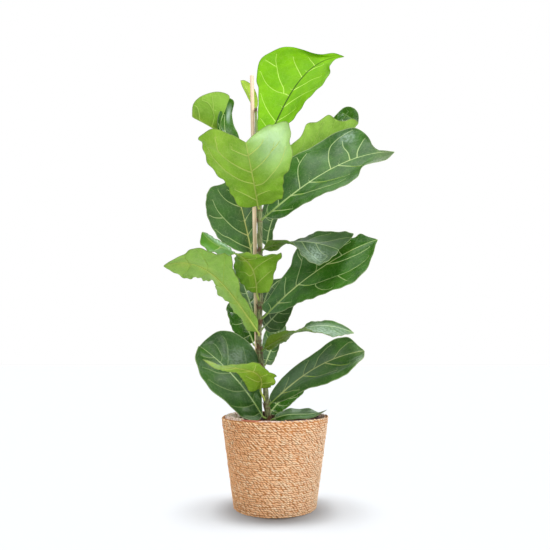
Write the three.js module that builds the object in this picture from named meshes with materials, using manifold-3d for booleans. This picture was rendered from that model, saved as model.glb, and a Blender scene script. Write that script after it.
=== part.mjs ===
// Potted fiddle leaf fig: a young tree on one stem, tied to a wooden stake, growing in soil in a
// plastic nursery pot that stands in a lined seagrass basket.
// Millimetres, +Z up. The origin is the middle of the basket's underside, +X is the photograph's
// right and -Y faces its viewer.

import * as THREE from 'three';
import { mergeVertices } from 'three/addons/utils/BufferGeometryUtils.js';
import Module from 'manifold-3d';

const wasm = await Module();
wasm.setup();

const seat = 0.3; // clearance between touching pieces

// The basket is a cone of seagrass rope rows. The rows are drawn larger than life.
const basket = {
  rimRadius: 120,
  baseRadius: 90.5,
  height: 190,
  wall: 6,
  floor: 6,
  rows: 17,
  rowRelief: 1.6,
  sides: 36,
};

// The liner is a thin plastic film inside the basket, the pot a common 21 cm nursery pot.
const liner = { thickness: 0.8, height: 187, sides: 32 };
const pot = {
  rimRadius: 106,
  baseRadius: 76,
  top: 191.5,
  wall: 2.2,
  lipWidth: 4,
  lipHeight: 9,
  sides: 32,
  place: [-3, -4],
};
const soil = {
  level: 168,
  crown: 4,
  rippleHeight: 0.8,
  rippleLengths: [9, 11, 17],
  rings: 5,
  sides: 24,
};

// The stem leans a little to the left as it rises. Its points run up the middle of it.
const stem = {
  path: [
    [-16, 0, 90], [-16, 0, 171], [-16, 0, 192], [-20, 0, 225], [-21, 0, 245], [-28, 0, 287],
    [-33, 0, 319], [-38, 0, 360], [-35, 0, 434], [-34, 0, 476], [-36, 0, 596], [-37, 0, 671],
    [-43, 0, 785], [-46, 0, 877], [-48, 0, 935],
  ],
  rootRadius: 6.6,
  middleRadius: 5.6,
  tipRadius: 2.8,
  tipTaperFrom: 0.72,
  nodeSwelling: 0.8,
  nodeHalfHeight: 5,
  ringSpacing: 2,
  sides: 8,
};

// The stake is a straight dowel pushed down into the soil behind the stem.
const stake = { top: [-59, 9, 1028], soilPoint: [-38, 15, 173], depth: 120, radius: 5, sides: 12 };
const tie = { heights: [498, 727], width: 5, thickness: 1.6, arcSteps: 8 };

// One leaf is a blade with its stalk and midrib. stalkEnd gives the places along the blade where
// the stalk's end sinks into the midrib, each with its share of the stalk's radius. The margin's
// ripple has its full height where a half of the blade is wider than waveWidth.
const leafBody = {
  thickness: 1.3,
  stalkRadius: 2.5,
  stalkSides: 5,
  stalkLean: 0.4,
  stalkBend: 0.35,
  stalkSteps: [0, 0.3, 0.6, 0.85],
  stalkEnd: [[0.03, 0.8], [0.08, 0.5]],
  ribHalfWidth: 2.4,
  ribMaxShare: 0.25,
  ribDepth: 2.4,
  ribTipDepth: 0.4,
  waveWidth: 40,
  waveEndFade: 0.3,
  waveOffset: 0.4,
};

// The steps by which a blade's slope is felt, and how near its ends, margins and middle.
const probe = { u: 0.01, t: 0.04, end: 0.03, margin: 0.05, middle: 0.1 };

// Where a blade is divided: along it from foot to tip, and across each half beyond the midrib.
const grids = {
  large: {
    rows: [0, 0.05, 0.12, 0.21, 0.31, 0.41, 0.51, 0.61, 0.71, 0.8, 0.88, 0.95, 1],
    across: [0.36, 0.68, 1],
  },
  small: {
    rows: [0, 0.06, 0.16, 0.28, 0.42, 0.56, 0.7, 0.83, 0.94, 1],
    across: [0.5, 1],
  },
};

// Every leaf, from the top of the plant down. node is the height of the stalk's foot on the stem.
// rib has four points at equal steps up the midrib, from the foot of the blade to its tip. left
// and right follow the margins as seen on the upper side with the tip up: [share of the way to
// the tip, x, y, z]. around is a side step by which a stalk passes the stake. camber is each
// half's bulge as a share of its width, and wave the margin's ripple: [height, number of waves,
// start].
const leaves = [
  {
    name: 'leaf_00', node: 925, look: 'young', grid: 'small',
    camber: [-0.1, -0.1], wave: [1, 3, 0],
    rib: [[-48, 14, 935], [-58, 24, 968], [-72, 26, 999], [-89, 26, 1026]],
    left: [[0.08, -53, 22, 943], [0.38, -67, 34, 976], [0.68, -79, 34, 1001], [0.9, -87, 30, 1018]],
    right: [[0.08, -45, 14, 946], [0.38, -46, 19, 979], [0.68, -60, 20, 1010], [0.9, -80, 23, 1025]],
  },
  {
    name: 'leaf_01', node: 785, look: 'lime', grid: 'large',
    camber: [-0.1, -0.1], wave: [2, 3, 0.1],
    rib: [[-27, 8, 838], [13, 28, 934], [78, 45, 1053], [185, 45, 1106]],
    left: [
      [0.08, -38, 3, 846], [0.2, -43, 1, 880], [0.38, -43, 12, 942], [0.5, -43, 28, 1006],
      [0.58, -48, 30, 1035], [0.66, -41, 36, 1085], [0.75, -16, 40, 1112], [0.83, 27, 42, 1133],
      [0.9, 74, 45, 1128], [0.95, 122, 45, 1112], [0.98, 159, 45, 1116],
    ],
    right: [
      [0.08, -15, 5, 839], [0.38, 42, -5, 901], [0.55, 79, -15, 946], [0.68, 114, -15, 986],
      [0.8, 139, 0, 1034], [0.88, 143, 15, 1063], [0.95, 163, 35, 1093],
    ],
  },
  {
    name: 'leaf_02', node: 668, look: 'young', grid: 'large',
    camber: [-0.1, -0.1], wave: [3, 3, 0.1],
    rib: [[-41, -12, 677], [-47, -85, 705], [-53, -160, 724], [-58, -225, 741]],
    left: [
      [0.08, -12, -20, 679], [0.18, 14, -40, 687], [0.38, 20, -80, 707], [0.55, 35, -115, 745],
      [0.68, 38, -140, 785], [0.78, 30, -165, 810], [0.86, 4, -190, 806], [0.94, -35, -210, 772],
    ],
    right: [
      [0.08, -76, -20, 671], [0.2, -100, -45, 690], [0.38, -116, -80, 716], [0.55, -152, -115, 747],
      [0.68, -159, -140, 778], [0.76, -160, -160, 786], [0.84, -129, -185, 789], [0.92, -94, -205, 768],
    ],
  },
  {
    name: 'leaf_03', node: 767, look: 'mature', grid: 'large',
    camber: [-0.12, -0.12], wave: [2, 2, 0.1],
    rib: [[-69, 0, 798], [-103, -35, 829], [-144, -75, 845], [-188, -105, 857]],
    left: [
      [0.08, -83, -10, 791], [0.38, -132, -75, 841], [0.55, -126, -100, 872], [0.68, -103, -105, 908],
      [0.8, -138, -120, 910], [0.9, -173, -122, 893], [0.96, -186, -115, 876],
    ],
    right: [
      [0.08, -67, 5, 810], [0.38, -90, 15, 860], [0.6, -106, 5, 911], [0.8, -108, -15, 951],
      [0.92, -143, -60, 924],
    ],
  },
  {
    name: 'leaf_04', node: 703, look: 'mature', grid: 'large',
    camber: [-0.15, -0.1], wave: [2, 3, 0.2],
    rib: [[-17, 22, 729], [51, 45, 795], [138, 65, 858], [219, 70, 928]],
    left: [
      [0.08, -7, 30, 729], [0.38, 75, 105, 856], [0.6, 137, 125, 937], [0.75, 169, 125, 982],
      [0.84, 193, 118, 1003], [0.92, 218, 105, 989], [0.97, 226, 90, 959],
    ],
    right: [
      [0.08, -17, 15, 752], [0.3, 37, 10, 839], [0.4, 65, 8, 866], [0.48, 78, 8, 895],
      [0.6, 108, 12, 905], [0.7, 136, 20, 928], [0.78, 154, 28, 920], [0.86, 177, 35, 918],
      [0.93, 204, 45, 929], [0.97, 215, 55, 927],
    ],
  },
  {
    name: 'leaf_05', node: 641, look: 'mature', grid: 'large',
    camber: [-0.1, -0.1], wave: [3, 3, 0.1],
    rib: [[-25, -8, 650], [66, -35, 717], [168, -55, 771], [279, -65, 791]],
    left: [
      [0.08, -17, -3, 680], [0.2, 5, -8, 743], [0.38, 36, -15, 792], [0.55, 90, -20, 825],
      [0.7, 155, -30, 857], [0.8, 197, -40, 861], [0.88, 224, -50, 832], [0.93, 234, -58, 801],
      [0.97, 259, -62, 795],
    ],
    right: [
      [0.08, 0, -15, 644], [0.3, 64, -60, 666], [0.45, 96, -90, 680], [0.6, 138, -115, 683],
      [0.75, 179, -120, 711], [0.85, 201, -100, 743], [0.93, 241, -85, 757], [0.97, 260, -75, 770],
    ],
  },
  {
    name: 'leaf_06', node: 543, look: 'mature', grid: 'large', around: [-30, 34],
    camber: [-0.1, -0.1], wave: [3, 3, 0.1],
    rib: [[-56, 31, 566], [-69, 40, 629], [-86, 50, 699], [-103, 60, 774]],
    left: [
      [0.08, -78, 24, 570], [0.2, -116, 16, 588], [0.38, -145, 15, 615], [0.5, -161, 15, 650],
      [0.62, -169, 15, 685], [0.75, -168, 20, 718], [0.86, -155, 30, 742], [0.94, -129, 45, 755],
    ],
    right: [[0.08, -49, 40, 578], [0.38, -46, 80, 642], [0.68, -47, 100, 729], [0.9, -71, 85, 773]],
  },
  {
    name: 'leaf_07', node: 567, look: 'mature', grid: 'small',
    camber: [-0.1, -0.1], wave: [3, 3, 0.1],
    rib: [[-21, 20, 586], [-13, 75, 646], [5, 135, 712], [42, 195, 772]],
    left: [[0.08, -30, 22, 594], [0.38, -33, 80, 655], [0.68, -30, 150, 731], [0.9, 6, 190, 782]],
    right: [
      [0.08, -10, 22, 590], [0.3, -3, 55, 636], [0.5, 13, 90, 688], [0.7, 56, 130, 730],
      [0.9, 70, 175, 774],
    ],
  },
  {
    name: 'leaf_08', node: 357, look: 'young', grid: 'large',
    camber: [-0.1, -0.1], wave: [5, 5, 0.1],
    rib: [[-39, -8, 377], [-94, -45, 456], [-159, -75, 514], [-244, -90, 516]],
    left: [
      [0.08, -39, -20, 404], [0.2, -58, -45, 433], [0.38, -77, -75, 470], [0.55, -89, -105, 513],
      [0.63, -96, -120, 533], [0.75, -130, -133, 538], [0.86, -175, -130, 543], [0.92, -198, -122, 536],
      [0.97, -226, -105, 524],
    ],
    right: [
      [0.08, -64, -5, 382], [0.2, -81, -8, 412], [0.38, -116, -10, 449], [0.48, -135, -10, 477],
      [0.58, -144, -12, 496], [0.72, -173, -20, 498], [0.86, -206, -45, 500], [0.95, -232, -75, 508],
    ],
  },
  {
    name: 'leaf_09', node: 557, look: 'mature', grid: 'large',
    camber: [-0.1, -0.1], wave: [2, 3, 0.1],
    rib: [[-28, -8, 572], [32, -50, 579], [86, -85, 569], [139, -100, 550]],
    left: [
      [0.08, -12, -5, 568], [0.18, 5, -5, 571], [0.28, 24, -10, 585], [0.38, 45, -20, 588],
      [0.5, 72, -30, 598], [0.62, 95, -38, 607], [0.75, 135, -50, 602], [0.86, 165, -65, 600],
      [0.95, 172, -80, 583],
    ],
    right: [
      [0.08, -16, -20, 589], [0.18, 2, -45, 585], [0.3, 31, -85, 572], [0.42, 45, -115, 556],
      [0.55, 59, -135, 526], [0.7, 87, -145, 509], [0.85, 117, -135, 523], [0.95, 133, -115, 539],
    ],
  },
  {
    name: 'leaf_10', node: 403, look: 'mature', grid: 'large',
    camber: [-0.1, -0.1], wave: [2, 3, 0.1],
    rib: [[-18, -8, 419], [54, -40, 483], [141, -65, 540], [229, -80, 578]],
    left: [
      [0.08, -31, -2, 433], [0.2, -16, -8, 456], [0.35, 12, -15, 495], [0.5, 35, -20, 529],
      [0.62, 44, -28, 558], [0.75, 72, -35, 578], [0.86, 155, -50, 589], [0.92, 181, -58, 589],
      [0.96, 196, -65, 595], [0.98, 209, -70, 587],
    ],
    right: [
      [0.08, 0, -15, 420], [0.25, 40, -55, 432], [0.38, 61, -80, 443], [0.5, 90, -100, 449],
      [0.65, 135, -120, 463], [0.75, 162, -125, 475], [0.85, 193, -120, 502], [0.93, 212, -105, 537],
      [0.97, 219, -95, 559],
    ],
  },
  {
    name: 'leaf_11', node: 445, look: 'young', grid: 'large',
    camber: [-0.1, -0.1], wave: [2, 4, 0.1],
    rib: [[-42, -12, 467], [-62, -80, 529], [-106, -125, 546], [-152, -150, 577]],
    left: [
      [0.08, -18, -20, 467], [0.25, 2, -50, 519], [0.36, 15, -85, 545], [0.48, -23, -135, 529],
      [0.62, -67, -165, 529], [0.74, -103, -175, 523], [0.86, -135, -175, 531], [0.95, -153, -165, 556],
    ],
    right: [
      [0.08, -58, -15, 471], [0.2, -76, -30, 490], [0.38, -88, -55, 532], [0.5, -87, -75, 546],
      [0.65, -103, -95, 559], [0.8, -128, -120, 571], [0.92, -145, -140, 577],
    ],
  },
  {
    name: 'leaf_12', node: 431, look: 'mature', grid: 'small',
    camber: [-0.1, -0.1], wave: [3, 3, 0.1],
    rib: [[-26, 12, 447], [-17, 70, 481], [5, 140, 517], [50, 205, 550]],
    left: [
      [0.08, -31, 14, 461], [0.38, -32, 70, 501], [0.6, -8, 120, 520], [0.8, 24, 170, 535],
      [0.92, 41, 190, 550],
    ],
    right: [
      [0.08, -19, 18, 446], [0.2, -7, 38, 454], [0.38, 7, 72, 467], [0.68, 44, 115, 492],
      [0.9, 62, 170, 524],
    ],
  },
  {
    name: 'leaf_13', node: 394, look: 'mature', grid: 'small', around: [-30, 36],
    camber: [-0.1, -0.1], wave: [3, 3, 0.1],
    rib: [[-50, 32, 413], [-64, 62, 460], [-82, 105, 511], [-99, 150, 567]],
    left: [[0.08, -60, 30, 415], [0.38, -81, 60, 455], [0.68, -105, 100, 511], [0.9, -109, 140, 555]],
    right: [[0.08, -43, 40, 423], [0.38, -43, 90, 473], [0.68, -53, 140, 538], [0.9, -75, 155, 574]],
  },
  {
    name: 'leaf_14', node: 337, look: 'mature', grid: 'small', around: [-28, 34],
    camber: [-0.1, -0.1], wave: [2, 3, 0.1],
    rib: [[-52, 31, 354], [-70, 48, 395], [-92, 75, 431], [-107, 105, 468]],
    left: [[0.08, -61, 27, 351], [0.38, -92, 26, 370], [0.6, -108, 38, 404], [0.85, -119, 70, 446]],
    right: [[0.08, -43, 38, 366], [0.38, -47, 80, 422], [0.68, -69, 115, 459], [0.9, -90, 120, 472]],
  },
  {
    name: 'leaf_15', node: 373, look: 'mature', grid: 'small',
    camber: [-0.1, -0.1], wave: [2, 3, 0.1],
    rib: [[-26, 10, 390], [-7, 35, 411], [19, 52, 439], [55, 72, 469]],
    left: [[0.08, -32, 14, 402], [0.38, -18, 24, 429], [0.68, 12, 42, 474], [0.9, 42, 66, 485]],
    right: [[0.08, -19, 10, 381], [0.38, 16, 20, 384], [0.6, 34, 38, 413], [0.8, 45, 54, 442]],
  },
  {
    name: 'leaf_16', node: 330, look: 'mature', grid: 'large',
    camber: [-0.1, -0.1], wave: [3, 5, 0.1],
    rib: [[-25, -8, 339], [20, -50, 365], [81, -90, 385], [166, -110, 369]],
    left: [
      [0.08, -16, -5, 337], [0.25, 14, -8, 350], [0.4, 36, -20, 369], [0.5, 54, -40, 382],
      [0.65, 81, -60, 396], [0.8, 115, -78, 398], [0.92, 151, -98, 384],
    ],
    right: [
      [0.08, -20, -20, 356], [0.2, -9, -40, 370], [0.35, 19, -80, 374], [0.5, 52, -125, 377],
      [0.65, 79, -148, 372], [0.78, 104, -155, 362], [0.9, 138, -140, 363],
    ],
  },
  {
    name: 'leaf_17', node: 296, look: 'mature', grid: 'small',
    camber: [-0.1, -0.1], wave: [2, 3, 0.1],
    rib: [[-22, 12, 305], [-10, 60, 338], [5, 110, 374], [21, 160, 413]],
    left: [[0.08, -30, 15, 310], [0.38, -32, 65, 348], [0.68, -23, 120, 390], [0.9, 0, 155, 418]],
    right: [
      [0.08, -12, 12, 303], [0.3, 2, 40, 321], [0.5, 12, 65, 353], [0.7, 20, 100, 374],
      [0.9, 29, 140, 399],
    ],
  },
  {
    name: 'leaf_18', node: 184, look: 'mature', grid: 'large',
    camber: [-0.1, -0.1], wave: [2, 2, 0.1],
    rib: [[-28, -12, 191], [-71, -28, 255], [-122, -38, 309], [-168, -40, 344]],
    left: [
      [0.08, -41, -18, 181], [0.2, -70, -30, 190], [0.38, -98, -55, 219], [0.55, -143, -72, 257],
      [0.7, -162, -80, 291], [0.82, -171, -70, 322], [0.93, -169, -50, 343],
    ],
    right: [
      [0.08, -28, -8, 202], [0.38, -32, 0, 263], [0.55, -34, 0, 310], [0.68, -51, 0, 344],
      [0.78, -73, -5, 364], [0.86, -103, -15, 378], [0.93, -136, -25, 375], [0.97, -156, -35, 358],
    ],
  },
  {
    name: 'leaf_19', node: 216, look: 'young', grid: 'large',
    camber: [-0.1, -0.1], wave: [2, 4, 0.1],
    rib: [[-32, -18, 252], [-41, -75, 287], [-85, -135, 299], [-142, -170, 315]],
    left: [
      [0.08, -16, -25, 253], [0.2, -2, -45, 260], [0.3, 4, -70, 278], [0.42, -19, -110, 297],
      [0.55, -38, -145, 307], [0.7, -78, -165, 306], [0.82, -103, -175, 302], [0.92, -126, -175, 312],
    ],
    right: [
      [0.08, -53, -25, 245], [0.2, -65, -45, 262], [0.35, -75, -70, 280], [0.5, -90, -95, 291],
      [0.65, -108, -125, 292], [0.8, -121, -150, 298], [0.92, -133, -165, 307],
    ],
  },
  {
    name: 'leaf_20', node: 175, look: 'mature', grid: 'small',
    camber: [-0.1, -0.1], wave: [2, 3, 0.1],
    rib: [[-2, -8, 185], [35, -30, 197], [71, -45, 199], [112, -55, 209]],
    left: [[0.08, 2, 0, 192], [0.38, 32, 10, 204], [0.68, 74, 0, 206], [0.88, 101, -30, 201]],
    right: [[0.08, 4, -18, 181], [0.38, 32, -50, 189], [0.68, 66, -66, 192], [0.88, 93, -66, 199]],
  },
  {
    name: 'leaf_21', node: 207, look: 'mature', grid: 'large',
    camber: [-0.1, -0.1], wave: [2, 3, 0.1],
    rib: [[-9, -8, 219], [52, -45, 273], [116, -75, 312], [189, -95, 333]],
    left: [
      [0.08, -12, -3, 232], [0.2, 7, -10, 265], [0.38, 43, -20, 297], [0.6, 100, -35, 339],
      [0.78, 143, -50, 362], [0.87, 163, -65, 362], [0.94, 180, -80, 343],
    ],
    right: [
      [0.08, 4, -18, 221], [0.25, 43, -60, 240], [0.38, 69, -85, 258], [0.55, 108, -115, 268],
      [0.7, 138, -130, 283], [0.85, 164, -130, 303], [0.95, 185, -110, 320],
    ],
  },
  {
    name: 'leaf_22', node: 179, look: 'mature', grid: 'small',
    camber: [-0.1, -0.1], wave: [2, 3, 0.1],
    rib: [[-12, 8, 194], [5, 25, 214], [31, 45, 235], [64, 55, 256]],
    left: [[0.08, -16, 12, 202], [0.38, -7, 40, 229], [0.68, 14, 65, 260], [0.9, 46, 65, 272]],
    right: [[0.08, -2, 10, 191], [0.38, 23, 20, 203], [0.68, 54, 40, 227], [0.9, 69, 52, 244]],
  },
];

const finish = (color, roughness) => new THREE.MeshStandardMaterial({ color, roughness, metalness: 0 });
const materials = {
  seagrass: finish(0xd3a274, 0.85),
  film: finish(0xe9e2d6, 0.35),
  terracottaPlastic: finish(0xb8583f, 0.5),
  soil: finish(0x3a2a1e, 0.95),
  bark: finish(0x7d7a55, 0.75),
  dowel: finish(0xe3c29c, 0.65),
  tie: finish(0x6f5a3c, 0.8),
  mature: finish(0x2f6a35, 0.4),
  young: finish(0x7db548, 0.5),
  lime: finish(0x8fd12c, 0.45),
};

const object = new THREE.Group();

function solidOf(geometry) {
  geometry.deleteAttribute('normal');
  geometry.deleteAttribute('uv');
  const merged = mergeVertices(geometry, 1e-4);
  return new wasm.Manifold(new wasm.Mesh({
    numProp: 3,
    vertProperties: new Float32Array(merged.attributes.position.array),
    triVerts: new Uint32Array(merged.index.array),
  }));
}

function addPiece(name, solid, material) {
  const data = solid.getMesh();
  const geometry = new THREE.BufferGeometry();
  geometry.setAttribute('position', new THREE.BufferAttribute(new Float32Array(data.vertProperties), 3));
  geometry.setIndex(new THREE.BufferAttribute(new Uint32Array(data.triVerts), 1));
  geometry.computeVertexNormals();
  const mesh = new THREE.Mesh(geometry, material);
  mesh.name = name;
  object.add(mesh);
}

// A turned shape about the vertical, from [radius, height] points that start and end on the axis.
function turned(points, sides) {
  const profile = points.map(([radius, height]) => new THREE.Vector2(radius, height));
  const geometry = new THREE.LatheGeometry(profile, sides);
  geometry.rotateX(Math.PI / 2);
  return geometry;
}

// A round rod whose radius changes along a path of points.
function rod(points, radii, sides) {
  const up = new THREE.Vector3();
  const along = points.map((point, i) => {
    const next = points[Math.min(i + 1, points.length - 1)];
    const last = points[Math.max(i - 1, 0)];
    return next.clone().sub(last).normalize();
  });
  const across = new THREE.Vector3(0, 1, 0).cross(along[0]);
  if (across.length() < 0.2) across.set(1, 0, 0);
  const positions = [];
  points.forEach((point, i) => {
    across.addScaledVector(along[i], -across.dot(along[i])).normalize();
    up.crossVectors(along[i], across);
    for (let k = 0; k < sides; k += 1) {
      const angle = (2 * Math.PI * k) / sides;
      const corner = point.clone();
      corner.addScaledVector(across, radii[i] * Math.cos(angle));
      corner.addScaledVector(up, radii[i] * Math.sin(angle));
      positions.push(...corner.toArray());
    }
  });
  const first = points.length * sides;
  const last = first + 1;
  positions.push(...points[0].toArray(), ...points[points.length - 1].toArray());
  const index = [];
  for (let k = 0; k < sides; k += 1) {
    const next = (k + 1) % sides;
    index.push(first, next, k);
    const ring = (points.length - 1) * sides;
    index.push(last, ring + k, ring + next);
    for (let i = 0; i + 1 < points.length; i += 1) {
      const low = i * sides;
      const high = low + sides;
      index.push(low + k, low + next, high + next);
      index.push(low + k, high + next, high + k);
    }
  }
  const geometry = new THREE.BufferGeometry();
  geometry.setAttribute('position', new THREE.Float32BufferAttribute(positions, 3));
  geometry.setIndex(index);
  return geometry;
}

// The basket: a base, a rope-ribbed outer wall and a plain inner wall, all in one profile.
const basketSlope = (basket.rimRadius - basket.baseRadius) / basket.height;

function basketOuter(height) {
  return basket.baseRadius + basketSlope * height;
}

function basketInner(height) {
  return basketOuter(height) - basket.wall;
}

function makeBasket() {
  const profile = [[0, 0], [basket.baseRadius - basket.rowRelief, 0]];
  const row = basket.height / basket.rows;
  for (let i = 0; i < basket.rows; i += 1) {
    const middle = (i + 0.5) * row;
    profile.push([basketOuter(middle), middle]);
    const seam = (i + 1) * row;
    profile.push([basketOuter(seam) - basket.rowRelief, seam]);
  }
  profile.push([basketInner(basket.height), basket.height]);
  profile.push([basketInner(basket.floor), basket.floor]);
  profile.push([0, basket.floor]);
  addPiece('basket', solidOf(turned(profile, basket.sides)), materials.seagrass);
}

function makeLiner() {
  const clear = basket.wall / Math.cos(Math.PI / basket.sides);
  const outer = (height) => basketOuter(height) - clear - 2 * seat;
  const bottom = basket.floor + seat;
  const inside = bottom + liner.thickness;
  const profile = [
    [0, bottom],
    [outer(bottom), bottom],
    [outer(liner.height), liner.height],
    [outer(liner.height) - liner.thickness, liner.height],
    [outer(inside) - liner.thickness, inside],
    [0, inside],
  ];
  addPiece('liner', solidOf(turned(profile, liner.sides)), materials.film);
}

const potBottom = basket.floor + liner.thickness + 2 * seat;
const potSlope = (pot.rimRadius - pot.lipWidth - pot.baseRadius) / (pot.top - potBottom);

function potInner(height) {
  return pot.baseRadius + potSlope * (height - potBottom) - pot.wall;
}

function makePot() {
  const lipFoot = pot.top - pot.lipHeight;
  const profile = [
    [0, potBottom],
    [pot.baseRadius, potBottom],
    [pot.baseRadius + potSlope * (lipFoot - potBottom), lipFoot],
    [pot.rimRadius, lipFoot],
    [pot.rimRadius, pot.top],
    [potInner(pot.top), pot.top],
    [potInner(potBottom + pot.wall), potBottom + pot.wall],
    [0, potBottom + pot.wall],
  ];
  const geometry = turned(profile, pot.sides);
  geometry.translate(...pot.place, 0);
  addPiece('nursery_pot', solidOf(geometry), materials.terracottaPlastic);
}

// The height of the stem's middle line gives its place there.
const stemPoints = stem.path.map((point) => new THREE.Vector3(...point));

function stemAt(height) {
  const above = stemPoints.findIndex((point) => point.z >= height);
  const high = stemPoints[Math.max(above, 1)];
  const low = stemPoints[Math.max(above, 1) - 1];
  return low.clone().lerp(high, (height - low.z) / (high.z - low.z));
}

function stemRadius(height) {
  const first = stemPoints[0].z;
  const top = stemPoints[stemPoints.length - 1].z;
  const share = (height - first) / (top - first);
  const fade = THREE.MathUtils.smoothstep(share, stem.tipTaperFrom, 1);
  const body = THREE.MathUtils.lerp(stem.rootRadius, stem.middleRadius, share);
  return THREE.MathUtils.lerp(body, stem.tipRadius, fade);
}

function stemRod(extra) {
  const rings = stemPoints.map((point) => [point.z, 0]);
  leaves.forEach((leaf) => {
    rings.push([leaf.node - stem.nodeHalfHeight, 0], [leaf.node, stem.nodeSwelling]);
  });
  rings.sort((a, b) => a[0] - b[0]);
  const spaced = rings.filter(([height], i) => i === 0 || height - rings[i - 1][0] > stem.ringSpacing);
  const points = spaced.map(([height]) => stemAt(height));
  const radii = spaced.map(([height, swelling]) => stemRadius(height) + swelling + extra);
  return rod(points, radii, stem.sides);
}

function stakeRod(extra) {
  const top = new THREE.Vector3(...stake.top);
  const entry = new THREE.Vector3(...stake.soilPoint);
  const down = entry.clone().sub(top).normalize();
  const foot = entry.clone().addScaledVector(down, stake.depth);
  const length = foot.distanceTo(top);
  const radius = stake.radius + extra;
  const geometry = new THREE.CylinderGeometry(radius, radius, length + 2 * extra, stake.sides);
  geometry.applyQuaternion(new THREE.Quaternion().setFromUnitVectors(new THREE.Vector3(0, -1, 0), down));
  geometry.translate(...top.clone().lerp(foot, 0.5).toArray());
  return geometry;
}

const stemSolid = solidOf(stemRod(0));
const stemClearance = solidOf(stemRod(seat));
const stakeSolid = solidOf(stakeRod(0));
const stakeClearance = solidOf(stakeRod(seat));

// The soil fills the pot to just under its rim, a little higher round the stem, with plain holes
// where the stem and the stake go in.
function makeSoil() {
  const bottom = potBottom + pot.wall + seat;
  const profile = [[0, bottom], [potInner(bottom) - 2 * seat, bottom]];
  profile.push([potInner(soil.level) - 2 * seat, soil.level]);
  for (let i = soil.rings - 1; i >= 0; i -= 1) {
    const share = i / soil.rings;
    profile.push([share * potInner(soil.level), soil.level + soil.crown * (1 - share * share)]);
  }
  const geometry = turned(profile, soil.sides);
  const position = geometry.attributes.position;
  const [a, b, c] = soil.rippleLengths;
  for (let i = 0; i < position.count; i += 1) {
    const x = position.getX(i);
    const y = position.getY(i);
    const z = position.getZ(i);
    const ripple = Math.sin(x / a + 1) * Math.cos(y / b) + Math.sin((x + y) / c);
    if (z > soil.level + seat / 2) position.setZ(i, z + soil.rippleHeight * ripple);
  }
  geometry.translate(...pot.place, 0);
  const body = solidOf(geometry).subtract(stemClearance).subtract(stakeClearance);
  addPiece('soil', body, materials.soil);
}

// A tie is a flat band bent round the stem and the stake: a long ring with round ends.
function makeTie(name, height) {
  const stemMiddle = stemAt(height);
  const top = new THREE.Vector3(...stake.top);
  const entry = new THREE.Vector3(...stake.soilPoint);
  const stakeMiddle = top.clone().lerp(entry, (top.z - height) / (top.z - entry.z));
  const gap = stakeMiddle.clone().sub(stemMiddle).setZ(0);
  const near = stemRadius(height) + 2 * seat;
  const far = stake.radius + 2 * seat;
  const ring = (extra) => {
    const points = [];
    for (let k = 0; k <= tie.arcSteps; k += 1) {
      const angle = Math.PI / 2 + (Math.PI * k) / tie.arcSteps;
      points.push(new THREE.Vector2(Math.cos(angle), Math.sin(angle)).multiplyScalar(near + extra));
    }
    for (let k = 0; k <= tie.arcSteps; k += 1) {
      const angle = -Math.PI / 2 + (Math.PI * k) / tie.arcSteps;
      const point = new THREE.Vector2(Math.cos(angle), Math.sin(angle)).multiplyScalar(far + extra);
      points.push(point.add(new THREE.Vector2(gap.length(), 0)));
    }
    return points;
  };
  const shape = new THREE.Shape(ring(tie.thickness));
  shape.holes.push(new THREE.Path(ring(0)));
  const geometry = new THREE.ExtrudeGeometry(shape, { depth: tie.width, bevelEnabled: false });
  geometry.rotateZ(Math.atan2(gap.y, gap.x));
  geometry.translate(stemMiddle.x, stemMiddle.y, height - tie.width / 2);
  const body = solidOf(geometry).subtract(stemClearance).subtract(stakeClearance);
  addPiece(name, body, materials.tie);
}

// The midrib is the cubic through its four points.
function midrib(leaf, s) {
  const a = -4.5 * (s - 1 / 3) * (s - 2 / 3) * (s - 1);
  const b = 13.5 * s * (s - 2 / 3) * (s - 1);
  const c = -13.5 * s * (s - 1 / 3) * (s - 1);
  const d = 4.5 * s * (s - 1 / 3) * (s - 2 / 3);
  const point = new THREE.Vector3();
  [a, b, c, d].forEach((weight, i) => point.addScaledVector(new THREE.Vector3(...leaf.rib[i]), weight));
  return point;
}

// A margin is a smooth curve from the foot of the blade through its stations to the tip.
function margin(leaf, side, u) {
  const stations = [[0, ...leaf.rib[0]], ...leaf[side], [1, ...leaf.rib[3]]];
  const slope = (i) => {
    const before = stations[Math.max(i - 1, 0)];
    const here = stations[i];
    const after = stations[Math.min(i + 1, stations.length - 1)];
    const stepIn = here[0] - before[0];
    const stepOut = after[0] - here[0];
    return [1, 2, 3].map((axis) => {
      if (stepIn === 0) return (after[axis] - here[axis]) / stepOut;
      if (stepOut === 0) return (here[axis] - before[axis]) / stepIn;
      const slopeIn = (here[axis] - before[axis]) / stepIn;
      const slopeOut = (after[axis] - here[axis]) / stepOut;
      return (slopeIn * stepOut + slopeOut * stepIn) / (stepIn + stepOut);
    });
  };
  const found = stations.findIndex((station) => station[0] > u);
  const end = found < 0 ? stations.length - 1 : Math.max(found, 1);
  const start = end - 1;
  const step = stations[end][0] - stations[start][0];
  const k = (u - stations[start][0]) / step;
  const slopeStart = slope(start);
  const slopeEnd = slope(end);
  const value = [1, 2, 3].map((axis, i) => (
    (2 * k ** 3 - 3 * k ** 2 + 1) * stations[start][axis]
    + (k ** 3 - 2 * k ** 2 + k) * step * slopeStart[i]
    + (-2 * k ** 3 + 3 * k ** 2) * stations[end][axis]
    + (k ** 3 - k ** 2) * step * slopeEnd[i]
  ));
  return new THREE.Vector3(...value);
}

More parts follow.
